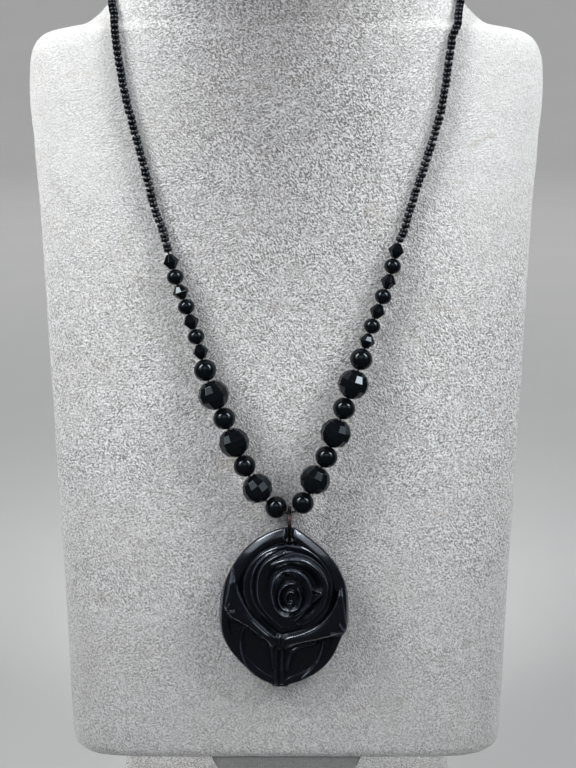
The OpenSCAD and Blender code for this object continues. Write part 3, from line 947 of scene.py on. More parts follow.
@dataclass
class Stand:
    """The covered stem under the bust, and the base plate that it stands on."""

    frame: LeaningFrame
    waist: float = 18.5
    foot: float = 24.5
    neck: float = 23.0
    flare: float = 9.0
    half_depth: float = 10.0
    chamfer_line: float = 30.5
    front_half: float = 20.5
    base: tuple[float, float, float] = (112.0, 92.0, 10.0)
    base_corner: float = 16.0
    base_round: float = 2.2
    foot_round: float = 0.8
    narrow_face: float = 0.9
    into_base: float = 0.5
    into_bust: float = 1.0

    def _half_width(self, share: Points) -> Points:
        """Half the stem's width, flared in a bow at both ends.

        Args:
            share: shares of the stem's height.

        Returns:
            The half widths: the waist, plus what the ends are wider by, times the share of the
            flare's height to the power 1.35.
        """
        height = self.frame.foot[2] - self.base[2]
        low = np.clip(1 - share * height / self.flare, 0, 1)
        high = np.clip(1 - (1 - share) * height / self.flare, 0, 1)
        bow = 1.35
        return self.waist + (self.foot - self.waist) * low**bow + (self.neck - self.waist) * high**bow

    def _plan(self, half: Points) -> Points:
        """The stem's outlines: rectangles with their corners cut and eased.

        A corner is a bend over t from 0 to 1: a place a little before it times (1 - t) squared,
        the corner times 2 t (1 - t), and a place a little after it times t squared.

        Args:
            half: half the width of each outline.

        Returns:
            Array of outlines, points in an outline, and two coordinates.
        """
        x = np.minimum(half - self.narrow_face, self.front_half)
        y = np.minimum(self.half_depth - self.narrow_face, self.chamfer_line - half)
        d = np.full_like(half, self.half_depth)
        corner_x = np.stack([x, half, half, x, -x, -half, -half, -x], axis=1)
        corner_y = np.stack([-d, -y, y, d, d, y, -y, -d], axis=1)
        corners = np.stack([corner_x, corner_y], axis=-1)
        before, after = np.roll(corners, 1, axis=1), np.roll(corners, -1, axis=1)
        ease = 0.45
        t = np.linspace(0, 1, 5)[None, None, :, None]

        def towards(other: Points) -> Points:
            """A place a little way from each corner towards a neighbour."""
            reach = np.minimum(ease / np.linalg.norm(other - corners, axis=-1, keepdims=True), 0.45)
            return (corners + (other - corners) * reach)[:, :, None]

        here = corners[:, :, None]
        bend = (1 - t) ** 2 * towards(before) + 2 * t * (1 - t) * here + t**2 * towards(after)
        return bend.reshape(len(half), -1, 2)

    def _stem(self) -> Points:
        """The stem, from the base up into the bust's tilted underside.

        Returns:
            Its rings, in the world.
        """
        share = np.linspace(0, 1, 48)
        plan = self._plan(self._half_width(share))
        _, foot_y, foot_z = self.frame.foot
        low = self.base[2] - self.into_base
        top = foot_z + self.into_bust - math.tan(self.frame.lean) * plan[:, :, 1]
        z = low + share[:, None] * (top - low)
        return np.stack([plan[:, :, 0], plan[:, :, 1] + foot_y, z], axis=-1)

    def _base(self) -> Points:
        """The base: a rectangle with round corners, its edge rounded in section.

        Returns:
            Its rings, from the middle of its underside to the middle of its top.
        """
        width, depth, thick = self.base
        r = self.base_corner
        fine = 64
        turn = np.arange(fine) / fine * math.pi / 2
        corner = np.concatenate([turn + k * math.pi / 2 for k in range(4)])
        quarter = np.repeat([[1, 1], [-1, 1], [-1, -1], [1, -1]], fine, axis=0)
        middle = quarter * (np.array([width, depth]) / 2 - r)
        way = np.stack([np.cos(corner), np.sin(corner)], axis=1)
        bend = np.linspace(-math.pi / 2, math.pi / 2, 22)
        below = bend < 0
        ease = np.where(below, self.foot_round, self.base_round)
        height = np.where(below, ease * (1 + np.sin(bend)), thick - ease * (1 - np.sin(bend)))
        height = np.concatenate([np.full(4, 0.0), height, np.full(4, thick)])
        drawn_in = np.array([0.2, 0.5, 0.8, 0.94])
        draw = np.concatenate([drawn_in, np.ones(len(bend)), drawn_in[::-1]])
        inset = np.pad(ease * (1 - np.cos(bend)), 4, mode="edge")
        outline = middle[None] + way[None] * (r - inset)[:, None, None]
        outline = outline * draw[:, None, None]
        z = np.broadcast_to(height[:, None, None], outline.shape[:2] + (1,))
        return np.concatenate([outline, z], axis=-1)

    def build(self, shop: Workshop) -> None:
        """Builds the stem and the base.

        Args:
            shop: makes the pieces and settles them.
        """
        stem = shop.mesh_piece("stem_cover", skin_over(self._stem()))
        shop.settle(stem, Slot.STEM, Body.STAND, "bust_stem")
        base = shop.mesh_piece("base_cover", skin_over(self._base()))
        shop.settle(base, Slot.BASE, Body.STAND, "base_plate")


@dataclass(frozen=True)
class BeadShape:
    """A bead drilled along its axis: its outline as rows of radius and place, and its sides."""

    outline: tuple
    sides: int
    length: float
    smooth: bool = False

    @staticmethod
    def ball(width: float, length: float) -> "BeadShape":
        """A round bead: an arc, closed by the hole with an eased rim.

        Args:
            width: its width.
            length: its length along the hole.

        Returns:
            The shape.
        """
        radius = width / 2
        rim, eased = BORE + 0.12, 0.12
        reach = math.acos(rim / radius)
        rise = np.linspace(-reach, reach, 23)
        arc = np.stack([radius * np.cos(rise), length / 2 * np.sin(rise)], axis=1)
        end = arc[-1, 1] - eased
        bore = np.array([[BORE, end], [BORE, 0.0], [BORE, -end]])
        return BeadShape(tuple(map(tuple, np.vstack([arc, bore]))), 44, length, smooth=True)

    @staticmethod
    def faceted(width: float, length: float) -> "BeadShape":
        """A ball cut into belts of flat facets, at rises of 15, 45 and 70 degrees both ways.

        Args:
            width: its width across two opposite edges of the middle belt.
            length: its length along the hole.

        Returns:
            The shape.
        """
        rise = np.radians([-70, -45, -15, 15, 45, 70])
        radius = width / 2 / math.cos(rise[3])
        belts = np.stack([radius * np.cos(rise), length / 2 * np.sin(rise) / math.sin(rise[5])], axis=1)
        ends = np.array([[BORE, belts[-1, 1]], [BORE, belts[0, 1]]])
        return BeadShape(tuple(map(tuple, np.vstack([belts, ends]))), 12, length)

    @staticmethod
    def double_cone(width: float, length: float) -> "BeadShape":
        """Two cones meeting at a narrow belt.

        Args:
            width: its width at the belt.
            length: its length along the hole.

        Returns:
            The shape.
        """
        belt, half = width / 2, length / 2
        tip, flat = 0.85, 0.1
        cut = [(tip, -half), (belt, -flat), (belt, flat), (tip, half)]
        return BeadShape(tuple(cut + [(BORE, half), (BORE, -half)]), 8, length)


@dataclass
class Chain:
    """One side's beads, from the ring up, and the thread through them."""

    side: Side
    frame: LeaningFrame
    ring_point: Points
    kinds: tuple[BeadKind, ...] = (
        (BeadKind.ROUND, BeadKind.FACETED) * 3
        + (BeadKind.ROUND,)
        + (BeadKind.BICONE, BeadKind.SMALL) * 3
        + (BeadKind.BICONE,)
    )
    # width and length of each kind
    round_size: tuple[float, float] = (6.2, 6.0)
    faceted_size: tuple[float, float] = (8.4, 7.7)
    small_size: tuple[float, float] = (4.6, 4.2)
    bicone_size: tuple[float, float] = (4.5, 4.0)
    # how far each cut bead is turned on the thread, in degrees, from the ring up
    left_turns: tuple = (0, 22.5, 12.5, 38, 38, 14, 40)
    right_turns: tuple = (2.5, 7.5, 25, 33.5, 8, 10, 5)

    def __post_init__(self) -> None:
        """Reads the beads' places from the CAD nodes, and works out their holes' directions."""
        self.nodes = [
            f"{kind.value}_{self.side.word}_{self.kinds[: i + 1].count(kind)}"
            for i, kind in enumerate(self.kinds)
        ]
        self.centres = self.frame.from_world(np.array([node_centre(n) for n in self.nodes]))
        end = 2 * self.centres[-1] - self.centres[-2]
        line = np.vstack([self.ring_point, self.centres, end])
        steps = unit(np.diff(line, axis=0))
        self.ways = unit(steps[:-1] + steps[1:])

    def shapes(self) -> dict[BeadKind, tuple[BeadShape, Slot]]:
        """The kinds' shapes and finishes.

        Returns:
            The shape and the slot of each kind.
        """
        return {
            BeadKind.ROUND: (BeadShape.ball(*self.round_size), Slot.ROUND),
            BeadKind.FACETED: (BeadShape.faceted(*self.faceted_size), Slot.FACETED),
            BeadKind.SMALL: (BeadShape.ball(*self.small_size), Slot.ROUND),
            BeadKind.BICONE: (BeadShape.double_cone(*self.bicone_size), Slot.BICONE),
        }

    def thread_line(self) -> Points:
        """The thread's places just inside both ends of every hole.

        Returns:
            The places from the ring up, in the bust's frame.
        """
        inside = 0.92
        half = np.array([self.shapes()[kind][0].length / 2 for kind in self.kinds])
        reach = inside * half[:, None] * self.ways
        return np.stack([self.centres - reach, self.centres + reach], axis=1).reshape(-1, 3)

    def past_end(self, gap: float) -> Points:
        """A place on the last bead's axis, a gap past its end."""
        last = self.shapes()[self.kinds[-1]][0]
        return self.centres[-1] + self.ways[-1] * (last.length / 2 + gap)

    def build(self, shop: Workshop) -> None:
        """Builds every bead on its own place along the thread.

        Args:
            shop: makes the pieces and settles them.
        """
        shapes = self.shapes()
        turns = iter(self.left_turns if self.side is Side.LEFT else self.right_turns)
        for i, (kind, node) in enumerate(zip(self.kinds, self.nodes)):
            shape, slot = shapes[kind]
            spin = 0.0 if shape.smooth else math.radians(next(turns))
            rings = turned(np.array(shape.outline), shape.sides, spin)
            way = self.ways[i]
            out = self.centres[i] - np.array([0, 10, self.centres[i][2]])
            first = square_to(way, out)
            axes = np.stack([first, np.cross(way, first), way])
            placed = self.frame.to_world(rings @ axes + self.centres[i])
            piece = shop.mesh_piece(f"{node}_stone", skin_over(placed, looped=True), shape.smooth)
            if not shape.smooth:
                self._ease_edges(piece)
            shop.settle(piece, slot, Body.STAND, node)

    @staticmethod
    def _ease_edges(piece: bpy.types.Object) -> None:
        """Takes the sharpness off the facets' edges.

        Args:
            piece: the cut bead.
        """
        bevel = piece.modifiers.new("eased_edges", "BEVEL")
        bevel.width = 0.035 * MM
        bevel.segments = 2
        bevel.limit_method = "ANGLE"
        bevel.angle_limit = math.radians(12)


@dataclass
class SeedStrings:
    """The strings of seed beads on both sides, the clasp between them, and the thread in all."""

    frame: LeaningFrame
    bust: BustForm
    chains: dict[Side, Chain]
    left_chest: tuple = (
        (-33, 156), (-35, 161.5), (-36.5, 168), (-38, 174), (-39.5, 180), (-41, 186),
        (-42.5, 192), (-43.5, 198), (-44.2, 203), (-44.7, 206.5),
    )
    right_chest: tuple = (
        (31.5, 156), (33, 161.5), (35, 168), (37, 174), (38.8, 180), (40.5, 186),
        (41.6, 192), (42.4, 198), (43, 203), (43.6, 206.5),
    )
    # x on the right side, depth in front, height
    neck: tuple = (
        (44.9, 10.3, 209.4), (45.3, 8, 212.6), (46.2, 5, 216.7), (46.1, 1.4, 220.2),
        (44.4, -4, 222.3), (42, -10, 224.3), (39, -15.5, 226.2), (35.2, -20.3, 228),
        (30.8, -24.2, 229.9), (25.7, -27.3, 231.7), (20.3, -29.2, 233.3), (14.7, -30.4, 234.8),
        (10, -31.2, 236),
    )
    clasp_back: float = 31.8
    clasp_height: float = 236.7
    clasp_length: float = 12.0
    over_chest: float = 1.3
    end_gap: float = 0.45
    thread_radius: float = 0.3
    ply_turn: float = 1.6
    pitch: float = 1.39
    # a seed: the radius of its wall's middle, half the wall's thickness, half its length
    seed_wall: tuple[float, float, float] = (0.77, 0.41, 0.65)
    seed_power: float = 0.8
    # how the seeds differ: in share of the pitch, in radians, in millimetres and in shares of size
    uneven_gap: float = 0.1
    uneven_tilt: float = 0.09
    uneven_place: float = 0.055
    uneven_width: tuple[float, float] = (0.94, 1.04)
    uneven_length: tuple[float, float] = (0.88, 1.06)

    def _route(self, side: Side) -> Points:
        """One side's line from its last bead to the clasp.

        Args:
            side: which side.

        Returns:
            Its places, in the bust's frame.
        """
        chest = np.array(self.left_chest if side is Side.LEFT else self.right_chest, float)
        depth = self.bust.chest_depth(chest[:, 0], chest[:, 1]) + self.over_chest
        on_chest = np.stack([chest[:, 0], -depth, chest[:, 1]], axis=1)
        neck = np.array(self.neck) * np.array([side.value, -1, 1])
        end = [side.value * (self.clasp_length / 2 + self.end_gap), self.clasp_back, self.clasp_height]
        return np.vstack([self.chains[side].past_end(self.end_gap), on_chest, neck, end])

    @staticmethod
    def _across(line: Points) -> tuple[Points, Points, Points]:
        """Directions along a line, away from the neck, and across both.

        Args:
            line: the line's places, in the bust's frame.

        Returns:
            The three unit vectors at each place.
        """
        way = unit(np.gradient(line, axis=0))
        out = square_to(way, (line - np.array([0, 10, 0])) * np.array([1, 1, 0]))
        return way, out, np.cross(way, out)

    def _seed(self) -> Points:
        """One seed round its hole.

        Its section is a squarish loop: the radius is 0.77 + 0.41 c and the place along the hole
        0.65 s, where c and s are the turn's cosine and sine to the power 0.8, their signs kept.

        Returns:
            The rings of the loop's points, which themselves go round.
        """
        middle, thick, long = self.seed_wall
        turn = full_turn(7)
        c, s = (np.sign(w) * np.abs(w) ** self.seed_power for w in (np.cos(turn), np.sin(turn)))
        return turned(np.stack([middle + thick * c, long * s], axis=1), 10)

    def _seeds(self, side: Side, shop: Workshop) -> None:
        """One string: small drilled beads, each turned, shifted and sized a little differently.

        Args:
            side: which string.
            shop: makes the piece and settles it.
        """
        line = smooth_line(self._route(side), 8)
        total = distances(line)[-1]
        count = int(total / self.pitch)
        rng = np.random.default_rng(SEED + side.value)
        late = rng.uniform(-self.uneven_gap, self.uneven_gap, count)
        spots = (np.arange(count) + 0.5 + late) * total / count
        centres = spots_along(line, spots)
        way, out, across = self._across(centres)
        tilt = rng.normal(0, self.uneven_tilt, (count, 2))
        shift = rng.normal(0, self.uneven_place, (count, 2))
        centres = centres + shift[:, :1] * out + shift[:, 1:] * across
        axis = unit(way + tilt[:, :1] * out + tilt[:, 1:] * across)
        first = square_to(axis, out)
        axes = np.stack([first, np.cross(axis, first), axis], axis=1)
        wide = rng.uniform(*self.uneven_width, count)
        long = rng.uniform(*self.uneven_length, count)
        size = np.stack([wide, wide, long], axis=1)[:, None, :]
        one = skin_over(self._seed(), looped=True)
        points = np.einsum("nij,njk->nik", one.points * size, axes) + centres[:, None]
        step = (np.arange(count) * len(one.points))[:, None, None]
        quads = (one.quads[None] + step).reshape(-1, 4)
        skin = Skin(self.frame.to_world(points.reshape(-1, 3)), quads).facing_out()
        tone = np.repeat(rng.uniform(0, 1, count), len(one.points))
        piece = shop.mesh_piece(f"seed_beads_{side.word}", skin, marks={"tone": tone})
        shop.settle(piece, Slot.SEEDS, Body.STAND, f"seed_string_{side.word}")
        log.info("%s: %d beads on %.0f mm", piece.name, count, total)

    def _thread(self, shop: Workshop) -> None:
        """The thread from clasp to clasp: three plies twisted together.

        Its radius swings between 0.8 and 1 of its full one, three times in a turn, and the swing
        goes once round in ply_turn.

        Args:
            shop: makes the piece and settles it.
        """
        left, right = (self.chains[side] for side in Side)
        places = np.vstack([
            self._route(Side.LEFT)[::-1],
            left.thread_line()[::-1],
            left.ring_point,
            right.thread_line(),
            self._route(Side.RIGHT),
        ])
        line = smooth_line(places, 6)
        spots = np.arange(0, distances(line)[-1], self.ply_turn / 5)
        line = spots_along(line, spots)
        _, out, across = self._across(line)
        turn = full_turn(9)
        ply = np.abs(np.cos(1.5 * (turn - spots[:, None] * 2 * math.pi / self.ply_turn)))
        radius = self.thread_radius * (0.8 + 0.2 * ply)
        ring = np.cos(turn)[None, :, None] * out[:, None] + np.sin(turn)[None, :, None] * across[:, None]
        rings = line[:, None] + radius[:, :, None] * ring
        piece = shop.mesh_piece("thread_plies", skin_over(self.frame.to_world(rings)))
        shop.settle(piece, Slot.THREAD, Body.STAND, "thread")

    def _clasp(self, shop: Workshop) -> None:
        """A screw barrel clasp: a knurled half, a plain half, and a crimped collar at each end.

        The grip is 24 ribs, 0.06 mm over and under the half's radius.

        Args:
            shop: makes the piece and settles it.
        """
        half = self.clasp_length / 2
        rows = np.array([
            (0.45, -half), (0.95, -half + 0.05), (1.05, -half + 0.5), (0.95, -half + 1.0),
            (1.1, -half + 1.2), (1.75, -half + 1.5), (2.05, -half + 1.9), (2.1, -half + 2.2),
            (2.1, -0.35), (2.0, -0.2), (1.8, -0.15), (1.8, 0.15), (2.0, 0.2), (2.15, 0.35),
            (2.15, half - 2.2), (2.05, half - 1.9), (1.75, half - 1.5), (1.1, half - 1.2),
            (0.95, half - 1.0), (1.05, half - 0.5), (0.95, half - 0.05), (0.45, half),
        ])
        s = np.unique(np.concatenate([rows[:, 1], np.linspace(-half, half, 121)]).round(6))
        r = np.interp(s, rows[:, 1], rows[:, 0])
        turn = full_turn(144)
        grip = bell(s - 1.9, 1.3)[:, None] * (s > 0.4)[:, None]
        r = r[:, None] + 0.06 * grip * np.cos(24 * turn[None])
        local = np.stack([np.broadcast_to(s[:, None], r.shape), r * np.cos(turn), r * np.sin(turn)], -1)
        centre = self.frame.from_world(node_centre("clasp"))
        piece = shop.mesh_piece("clasp_barrel", skin_over(self.frame.to_world(local + centre)))
        shop.settle(piece, Slot.METAL, Body.STAND, "clasp")

    def build(self, shop: Workshop) -> None:
        """Builds both strings, the thread and the clasp.

        Args:
            shop: makes the pieces and settles them.
        """
        for side in Side:
            self._seeds(side, shop)
        self._thread(shop)
        self._clasp(shop)


@dataclass(frozen=True)
class HangingFrame:
    """The pendant's own plane: x to the right, y up, z out of it towards the front."""

    tilt: float = math.radians(3.5)

    def axes(self) -> Points:
        """The three directions in the world, one a row."""
        c, s = math.cos(self.tilt), math.sin(self.tilt)
        return np.array([[1, 0, 0], [0, s, c], [0, -c, s]])


@dataclass
class JumpRing:
    """The wire ring that hangs on the thread, with the cut where it was closed."""

    plane: HangingFrame
    mid_radius: float = 4.5
    wire_radius: float = 0.55
    # the cut and the burr beside it: depth and height in millimetres, widths in radians
    cut_at: float = math.radians(152)
    cut_depth: float = 0.11
    cut_width: float = 0.004
    burr: float = 0.02
    burr_from_cut: float = 0.012
    burr_width: float = 0.006

    def build(self, shop: Workshop) -> None:
        """Builds the ring: a circle of wire round the x axis.

        The wire's radius falls at the cut and rises beside it, both as bells.

        Args:
            shop: makes the piece and settles it.
        """
        even = full_turn(160)
        fine = self.cut_at + np.linspace(-0.03, 0.03, 25)
        turn = np.sort(np.concatenate([even[np.abs(even - self.cut_at) > 0.032], fine]))
        away = np.abs(turn - self.cut_at)
        wire = self.wire_radius - self.cut_depth * bell(away, self.cut_width)
        wire = wire + self.burr * bell(away - self.burr_from_cut, self.burr_width)
        bend = full_turn(28)
        reach = self.mid_radius + wire[:, None] * np.cos(bend)
        up, front = np.cos(turn)[:, None] * reach, np.sin(turn)[:, None] * reach
        local = np.stack([wire[:, None] * np.sin(bend), up, front], axis=-1)
        rings = local @ self.plane.axes() + node_centre("pendant_ring")
        piece = shop.mesh_piece("ring_wire", skin_over(rings, looped=True))
        shop.settle(piece, Slot.METAL, Body.RING, "pendant_ring")


@dataclass(frozen=True)
class Petal:
    """A petal's lip: its height from the back, the widths of its falls, and its line.

    A rolled petal is rounded over its lip; the others have a crisp edge.
    """

    crest: float
    inward: float
    outward: float
    lip: tuple
    rolled: bool = False


@dataclass(frozen=True)
class Leaf:
    """A curled leaf: heights of its crest and its lower edge, and both lines from the top down."""

    crest: float
    edge: float
    ridge: tuple
    lower: tuple


@dataclass(frozen=True)
class Rib:
    """A narrow ridge: its height from the back, its width, and its line."""

    crest: float
    width: float
    line: tuple


@dataclass
class Pendant:
    """The carved rose drop. Places are from its hole: x to the right, y up."""

    plane: HangingFrame
    eye: Points
    heart: tuple[float, float] = (0.0, -18.0)
    rose: tuple[float, float] = (0.2, -15.5)
    dome_half: tuple[float, float] = (11.5, 13.5)
    dome_rise: float = 2.5
    ground: float = 3.6
    edge_round: float = 1.0
    edge_drop: float = 1.7
    rim_rise: float = 1.55
    fold_rise: float = 0.4
    # the leaves sink into the ground between these heights
    leaf_foot: tuple[float, float] = (-35.5, -27.0)
    columns: int = 480
    rows: int = 150
    # direction from the heart in degrees, reach
    outline: tuple = (
        (0, 16.6), (10, 16.4), (32, 16.7), (49, 17.4), (65, 18.6), (76, 20), (85, 21.9),
        (90, 22.4), (95, 22.1), (109, 21.1), (127, 20), (143, 19.1), (163, 18.9), (178, 19.3),
        (193, 20.1), (209, 22.2), (222, 23.1), (240, 24.6), (248, 26), (254, 26.9), (263, 27.4),
        (269, 27.1), (275, 26), (286, 24.7), (295, 23.5), (308, 21.2), (323, 18.5), (330, 18.9),
        (349, 16.9), (360, 16.6),
    )
    petals: tuple = (
        Petal(5.4, 2.4, 0.8, ((-0.7, -0.9), (-4, -1.6), (-7.8, -3.6), (-10.8, -6.9),
                              (-12.3, -10.6), (-12.5, -14.7), (-11.5, -18.4), (-10.2, -21))),
        Petal(5.4, 2.4, 0.8, ((-0.7, -0.9), (3.4, -1.4), (6.7, -3.4), (9.1, -6), (11.2, -10),
                              (11.6, -14.7), (10.8, -19), (8.1, -23), (4, -26))),
        Petal(6.0, 1.6, 0.7, ((-3.4, -1.9), (-6.7, -3.7), (-9.2, -6.6), (-10.3, -9.8),
                              (-10.6, -13), (-10.1, -16.5), (-8.6, -19.8), (-6, -22.8))),
        Petal(6.6, 2.4, 0.8, ((-1.4, -2.6), (-4, -3.6), (-6.6, -5.4), (-8.2, -8.2), (-8.8, -11.8),
                              (-8.6, -15.9), (-7.2, -19.2), (-4.7, -22.3), (-2, -25.2))),
        Petal(7.1, 1.9, 1.2, ((-5.4, -6.2), (-2, -4.6), (1.3, -4.1), (4.7, -4.9), (8, -7.5),
                              (10, -11), (10.3, -14.2), (9.2, -18.1), (6.6, -21.5), (3.6, -24)),
              rolled=True),
        Petal(7.6, 1.8, 0.6, ((-2, -7.9), (-4, -9.7), (-4.9, -12.7), (-4.7, -15.7),
                              (-3.9, -18.6), (-2, -20.8), (0.3, -21.6))),
        Petal(7.5, 1.8, 0.6, ((-2, -7.9), (0.3, -7.2), (2.9, -8), (5, -10.3), (6, -13.3),
                              (5.6, -16.4), (3.8, -19.3), (1.6, -21.2))),
        Petal(7.5, 1.0, 0.4, ((1.6, -11.4), (-0.7, -11.4), (-2.5, -13.3), (-3, -16.1),
                              (-2, -18.6), (0.2, -19.5), (2.4, -18.4), (3.2, -15.6), (2.4, -13))),
        Petal(7.4, 0.7, 0.35, ((1.5, -15.2), (1, -13.9), (-0.3, -13.8), (-1, -15.3),
                               (-0.5, -17), (1, -17.4))),
        Petal(7.0, 2.4, 0.5, ((6.4, -13.4), (8.9, -14.3), (7.3, -16.2), (5.7, -17.6),
                              (3.7, -20.4), (1.3, -23))),
    )
    leaves: tuple = (
        Leaf(6.2, 4.6,
             ((-15.9, -7.5), (-15, -12.5), (-13.6, -16.8), (-11, -21.6), (-7.4, -25.6),
              (-4.7, -28.2), (-3.9, -30.5)),
             ((-18.3, -19.8), (-17, -22.4), (-13.8, -24.3), (-10.8, -26.3), (-7.6, -29.3),
              (-6.4, -31.5), (-6, -34.7))),
        Leaf(6.2, 4.6,
             ((14.3, -11.5), (13.7, -16.5), (11.5, -21.3), (8.1, -24.9), (3.4, -27.5),
              (-0.7, -29), (-2, -31)),
             ((16.4, -26.7), (14.4, -27.9), (8.1, -30.1), (4, -31.4), (1.3, -33), (-0.3, -35.4))),
    )
    ribs: tuple = (
        Rib(4.7, 0.8, ((-4.4, -28.5), (-3.8, -31.5), (-3.9, -36), (-3.9, -43.5))),
        Rib(4.7, 0.8, ((-1, -29.2), (-2, -32), (-2.1, -36), (-2.2, -43.5))),
        Rib(4.5, 0.32, ((-12.6, -25.2), (-13.7, -30), (-13.6, -33.7), (-12.1, -38.3), (-9.5, -41.3))),
        Rib(4.5, 0.32, ((9.6, -30.3), (8.7, -34.8), (6.6, -38.8), (3.4, -42))),
        Rib(4.9, 0.9, ((-9, -28), (-6.6, -29.4), (-5.3, -31.4), (-4.9, -34.5), (-4.6, -38))),
        Rib(4.9, 0.9, ((7, -30.6), (3.4, -31.7), (1.1, -33.2), (-0.2, -35.8), (-0.6, -39))),
        Rib(5.2, 1.3, ((-3.2, -29.2), (-3.1, -30.5), (-3, -32))),
    )
    # a rib wider than this has a faint edge mark: less painted highlight and wear on it
    wide_rib: float = 0.5
    # short folds near the leaves' tips
    folds: tuple = (
        ((-17.8, -19.9), (-15.4, -19.6)),
        ((-17.6, -19.4), (-16.8, -17.6)),
        ((16, -26.5), (14.2, -23.8)),
        ((16, -26.8), (11.8, -26.4)),
    )
    # turn, share of the rim's full height
    rim_share: tuple = (
        (0, 1), (180, 1), (200, 0.8), (215, 0.35), (300, 0.35), (325, 0.5), (345, 1), (360, 1),
    )

    def _reach(self) -> tuple[Points, Points]:
        """The outline, evened out, with a flat lip at the bottom.

        It is averaged with a bell of 6 degrees, but keeps the point of its tip.

        Returns:
            Every half degree, and the outline's reach from the heart there.
        """
        tip_at, tip_half = 89, 9.0
        lip_at, lip_half, lip_out = 264.4, 5.6, 0.5
        turn, reach = np.array(self.outline, float).T
        fine = np.arange(0, 360.5, 0.5)
        raw = np.interp(fine, turn, reach)
        weight = np.exp(-((np.arange(-24, 25) / 12.0) ** 2) / 2)
        padded = np.concatenate([raw[-25:-1], raw, raw[1:25]])
        even = np.convolve(padded, weight / weight.sum(), "valid")
        lip = lip_out * np.clip(lip_half - np.abs(fine - lip_at), 0, 1)
        return fine, even + bell(fine - tip_at, tip_half) * (raw - even) + lip

    @staticmethod
    def _nearest(p: Points, line: Points) -> tuple[Points, Points, Points]:
        """Finds the place of a line that is nearest to each place.

        Args:
            p: the places.
            line: the line's places, with straight stretches between them.

        Returns:
            How far it is, the place itself, and its share of the line's stretches.
        """
        best = np.full(p.shape[:-1], 1e9)
        spot = np.zeros(p.shape)
        share = np.zeros(p.shape[:-1])
        stretches = len(line) - 1
        for k in range(stretches):
            start, gap = line[k], line[k + 1] - line[k]
            t = np.clip(((p - start) @ gap) / (gap @ gap), 0, 1)
            here = start + t[..., None] * gap
            distance = np.linalg.norm(p - here, axis=-1)
            closer = distance < best
            best = np.where(closer, distance, best)
            spot = np.where(closer[..., None], here, spot)
            share = np.where(closer, (k + t) / stretches, share)
        return best, spot, share

    @staticmethod
    def _within(p: Points, ring: Points) -> Points:
        """Whether each place lies in a ring, by counting the sides that it has on its right.

        Args:
            p: the places.
            ring: the ring's corners.

        Returns:
            True for those that lie in it.
        """
        inside = np.zeros(p.shape[:-1], bool)
        for (x0, y0), (x1, y1) in zip(ring, np.roll(ring, -1, axis=0)):
            if y0 != y1:
                crosses = (y0 > p[..., 1]) != (y1 > p[..., 1])
                edge = (x1 - x0) * (p[..., 1] - y0) / (y1 - y0) + x0
                inside ^= crosses & (p[..., 0] < edge)
        return inside

    @staticmethod
    def _over(low: Points, high: Points, blend: float) -> Points:
        """The higher of two heights, eased into each other over a blend."""
        share = np.clip(0.5 + 0.5 * (low - high) / blend, 0, 1)
        return high + (low - high) * share + 0.5 * blend * share * (1 - share)

    def _lip(self, p: Points, petal: Petal) -> Points:
        """A petal: a slope towards the rose's heart, a steep fall outwards, lower at its ends.

        Inwards, 0.45 of the height falls with the petal's own width, as a bell where it is rolled
        and as a sharp crest where it isn't, and 0.55 as a bell three times as wide. Over the
        first and last eighth of the lip the height rises from 0.7, by the root of the share.

        Args:
            p: places on the front.
            petal: the petal.

        Returns:
            Its height at each place.
        """
        distance, spot, share = self._nearest(p, smooth_line(petal.lip, 6))
        rose = np.array(self.rose)
        inner = np.linalg.norm(p - rose, axis=-1) < np.linalg.norm(spot - rose, axis=-1)
        near = bell(distance, petal.inward) if petal.rolled else np.exp(-distance / petal.inward)
        slope = 0.45 * near + 0.55 * bell(distance, 3 * petal.inward)
        taper = 0.7 + 0.3 * np.sqrt(np.clip(8 * np.minimum(share, 1 - share), 0, 1))
        fall = np.where(inner, slope, bell(distance, petal.outward))
        return self.ground + (petal.crest - self.ground) * taper * fall

    def _leaf(self, p: Points, leaf: Leaf) -> Points:
        """A leaf: a thick roll between its ridge and its lower edge.

        Across, the roll is an ellipse, highest near the middle of the way from the ridge. Beyond
        both lines the height falls as bells, the lower one flatter and wider towards the foot.
        The leaf rises over the first eighth of its ridge and sinks at its foot.

        Args:
            p: places on the front.
            leaf: the leaf.

        Returns:
            Its height at each place.
        """
        peak, half = 0.42, 0.6
        ridge, lower = smooth_line(leaf.ridge, 6), smooth_line(leaf.lower, 6)
        from_ridge, _, down = self._nearest(p, ridge)
        from_lower, _, along = self._nearest(p, lower)
        across = from_ridge / (from_ridge + from_lower + 1e-6)
        roll = np.sqrt(np.clip(1 - ((across - peak) / half) ** 2, 0, 1))
        body = leaf.edge - 0.8 + (leaf.crest - leaf.edge + 1.3) * roll
        rise = (leaf.edge - self.ground + 0.5) * np.clip(1.4 - 2.2 * along, 0.55, 1)
        beside = np.maximum(
            (leaf.crest - self.ground) * bell(from_ridge, 0.9),
            rise * bell(from_lower, 0.45 + 0.5 * along),
        )
        inside = self._within(p, np.vstack([ridge, lower[::-1]]))
        rising = np.clip(0.1 + 7 * down, 0, 1)
        low, high = self.leaf_foot
        sinking = np.clip((p[..., 1] - low) / (high - low), 0, 1)
        height = np.where(inside, body, self.ground + beside) - self.ground
        return self.ground + height * rising * sinking**2 * (3 - 2 * sinking)

    @staticmethod
    def _upper(turn: Points) -> Points:
        """How far a direction belongs to the upper half: 0 below it, 1 from 20 degrees up."""
        return np.clip(3 * np.sin(np.radians(turn)), 0, 1)

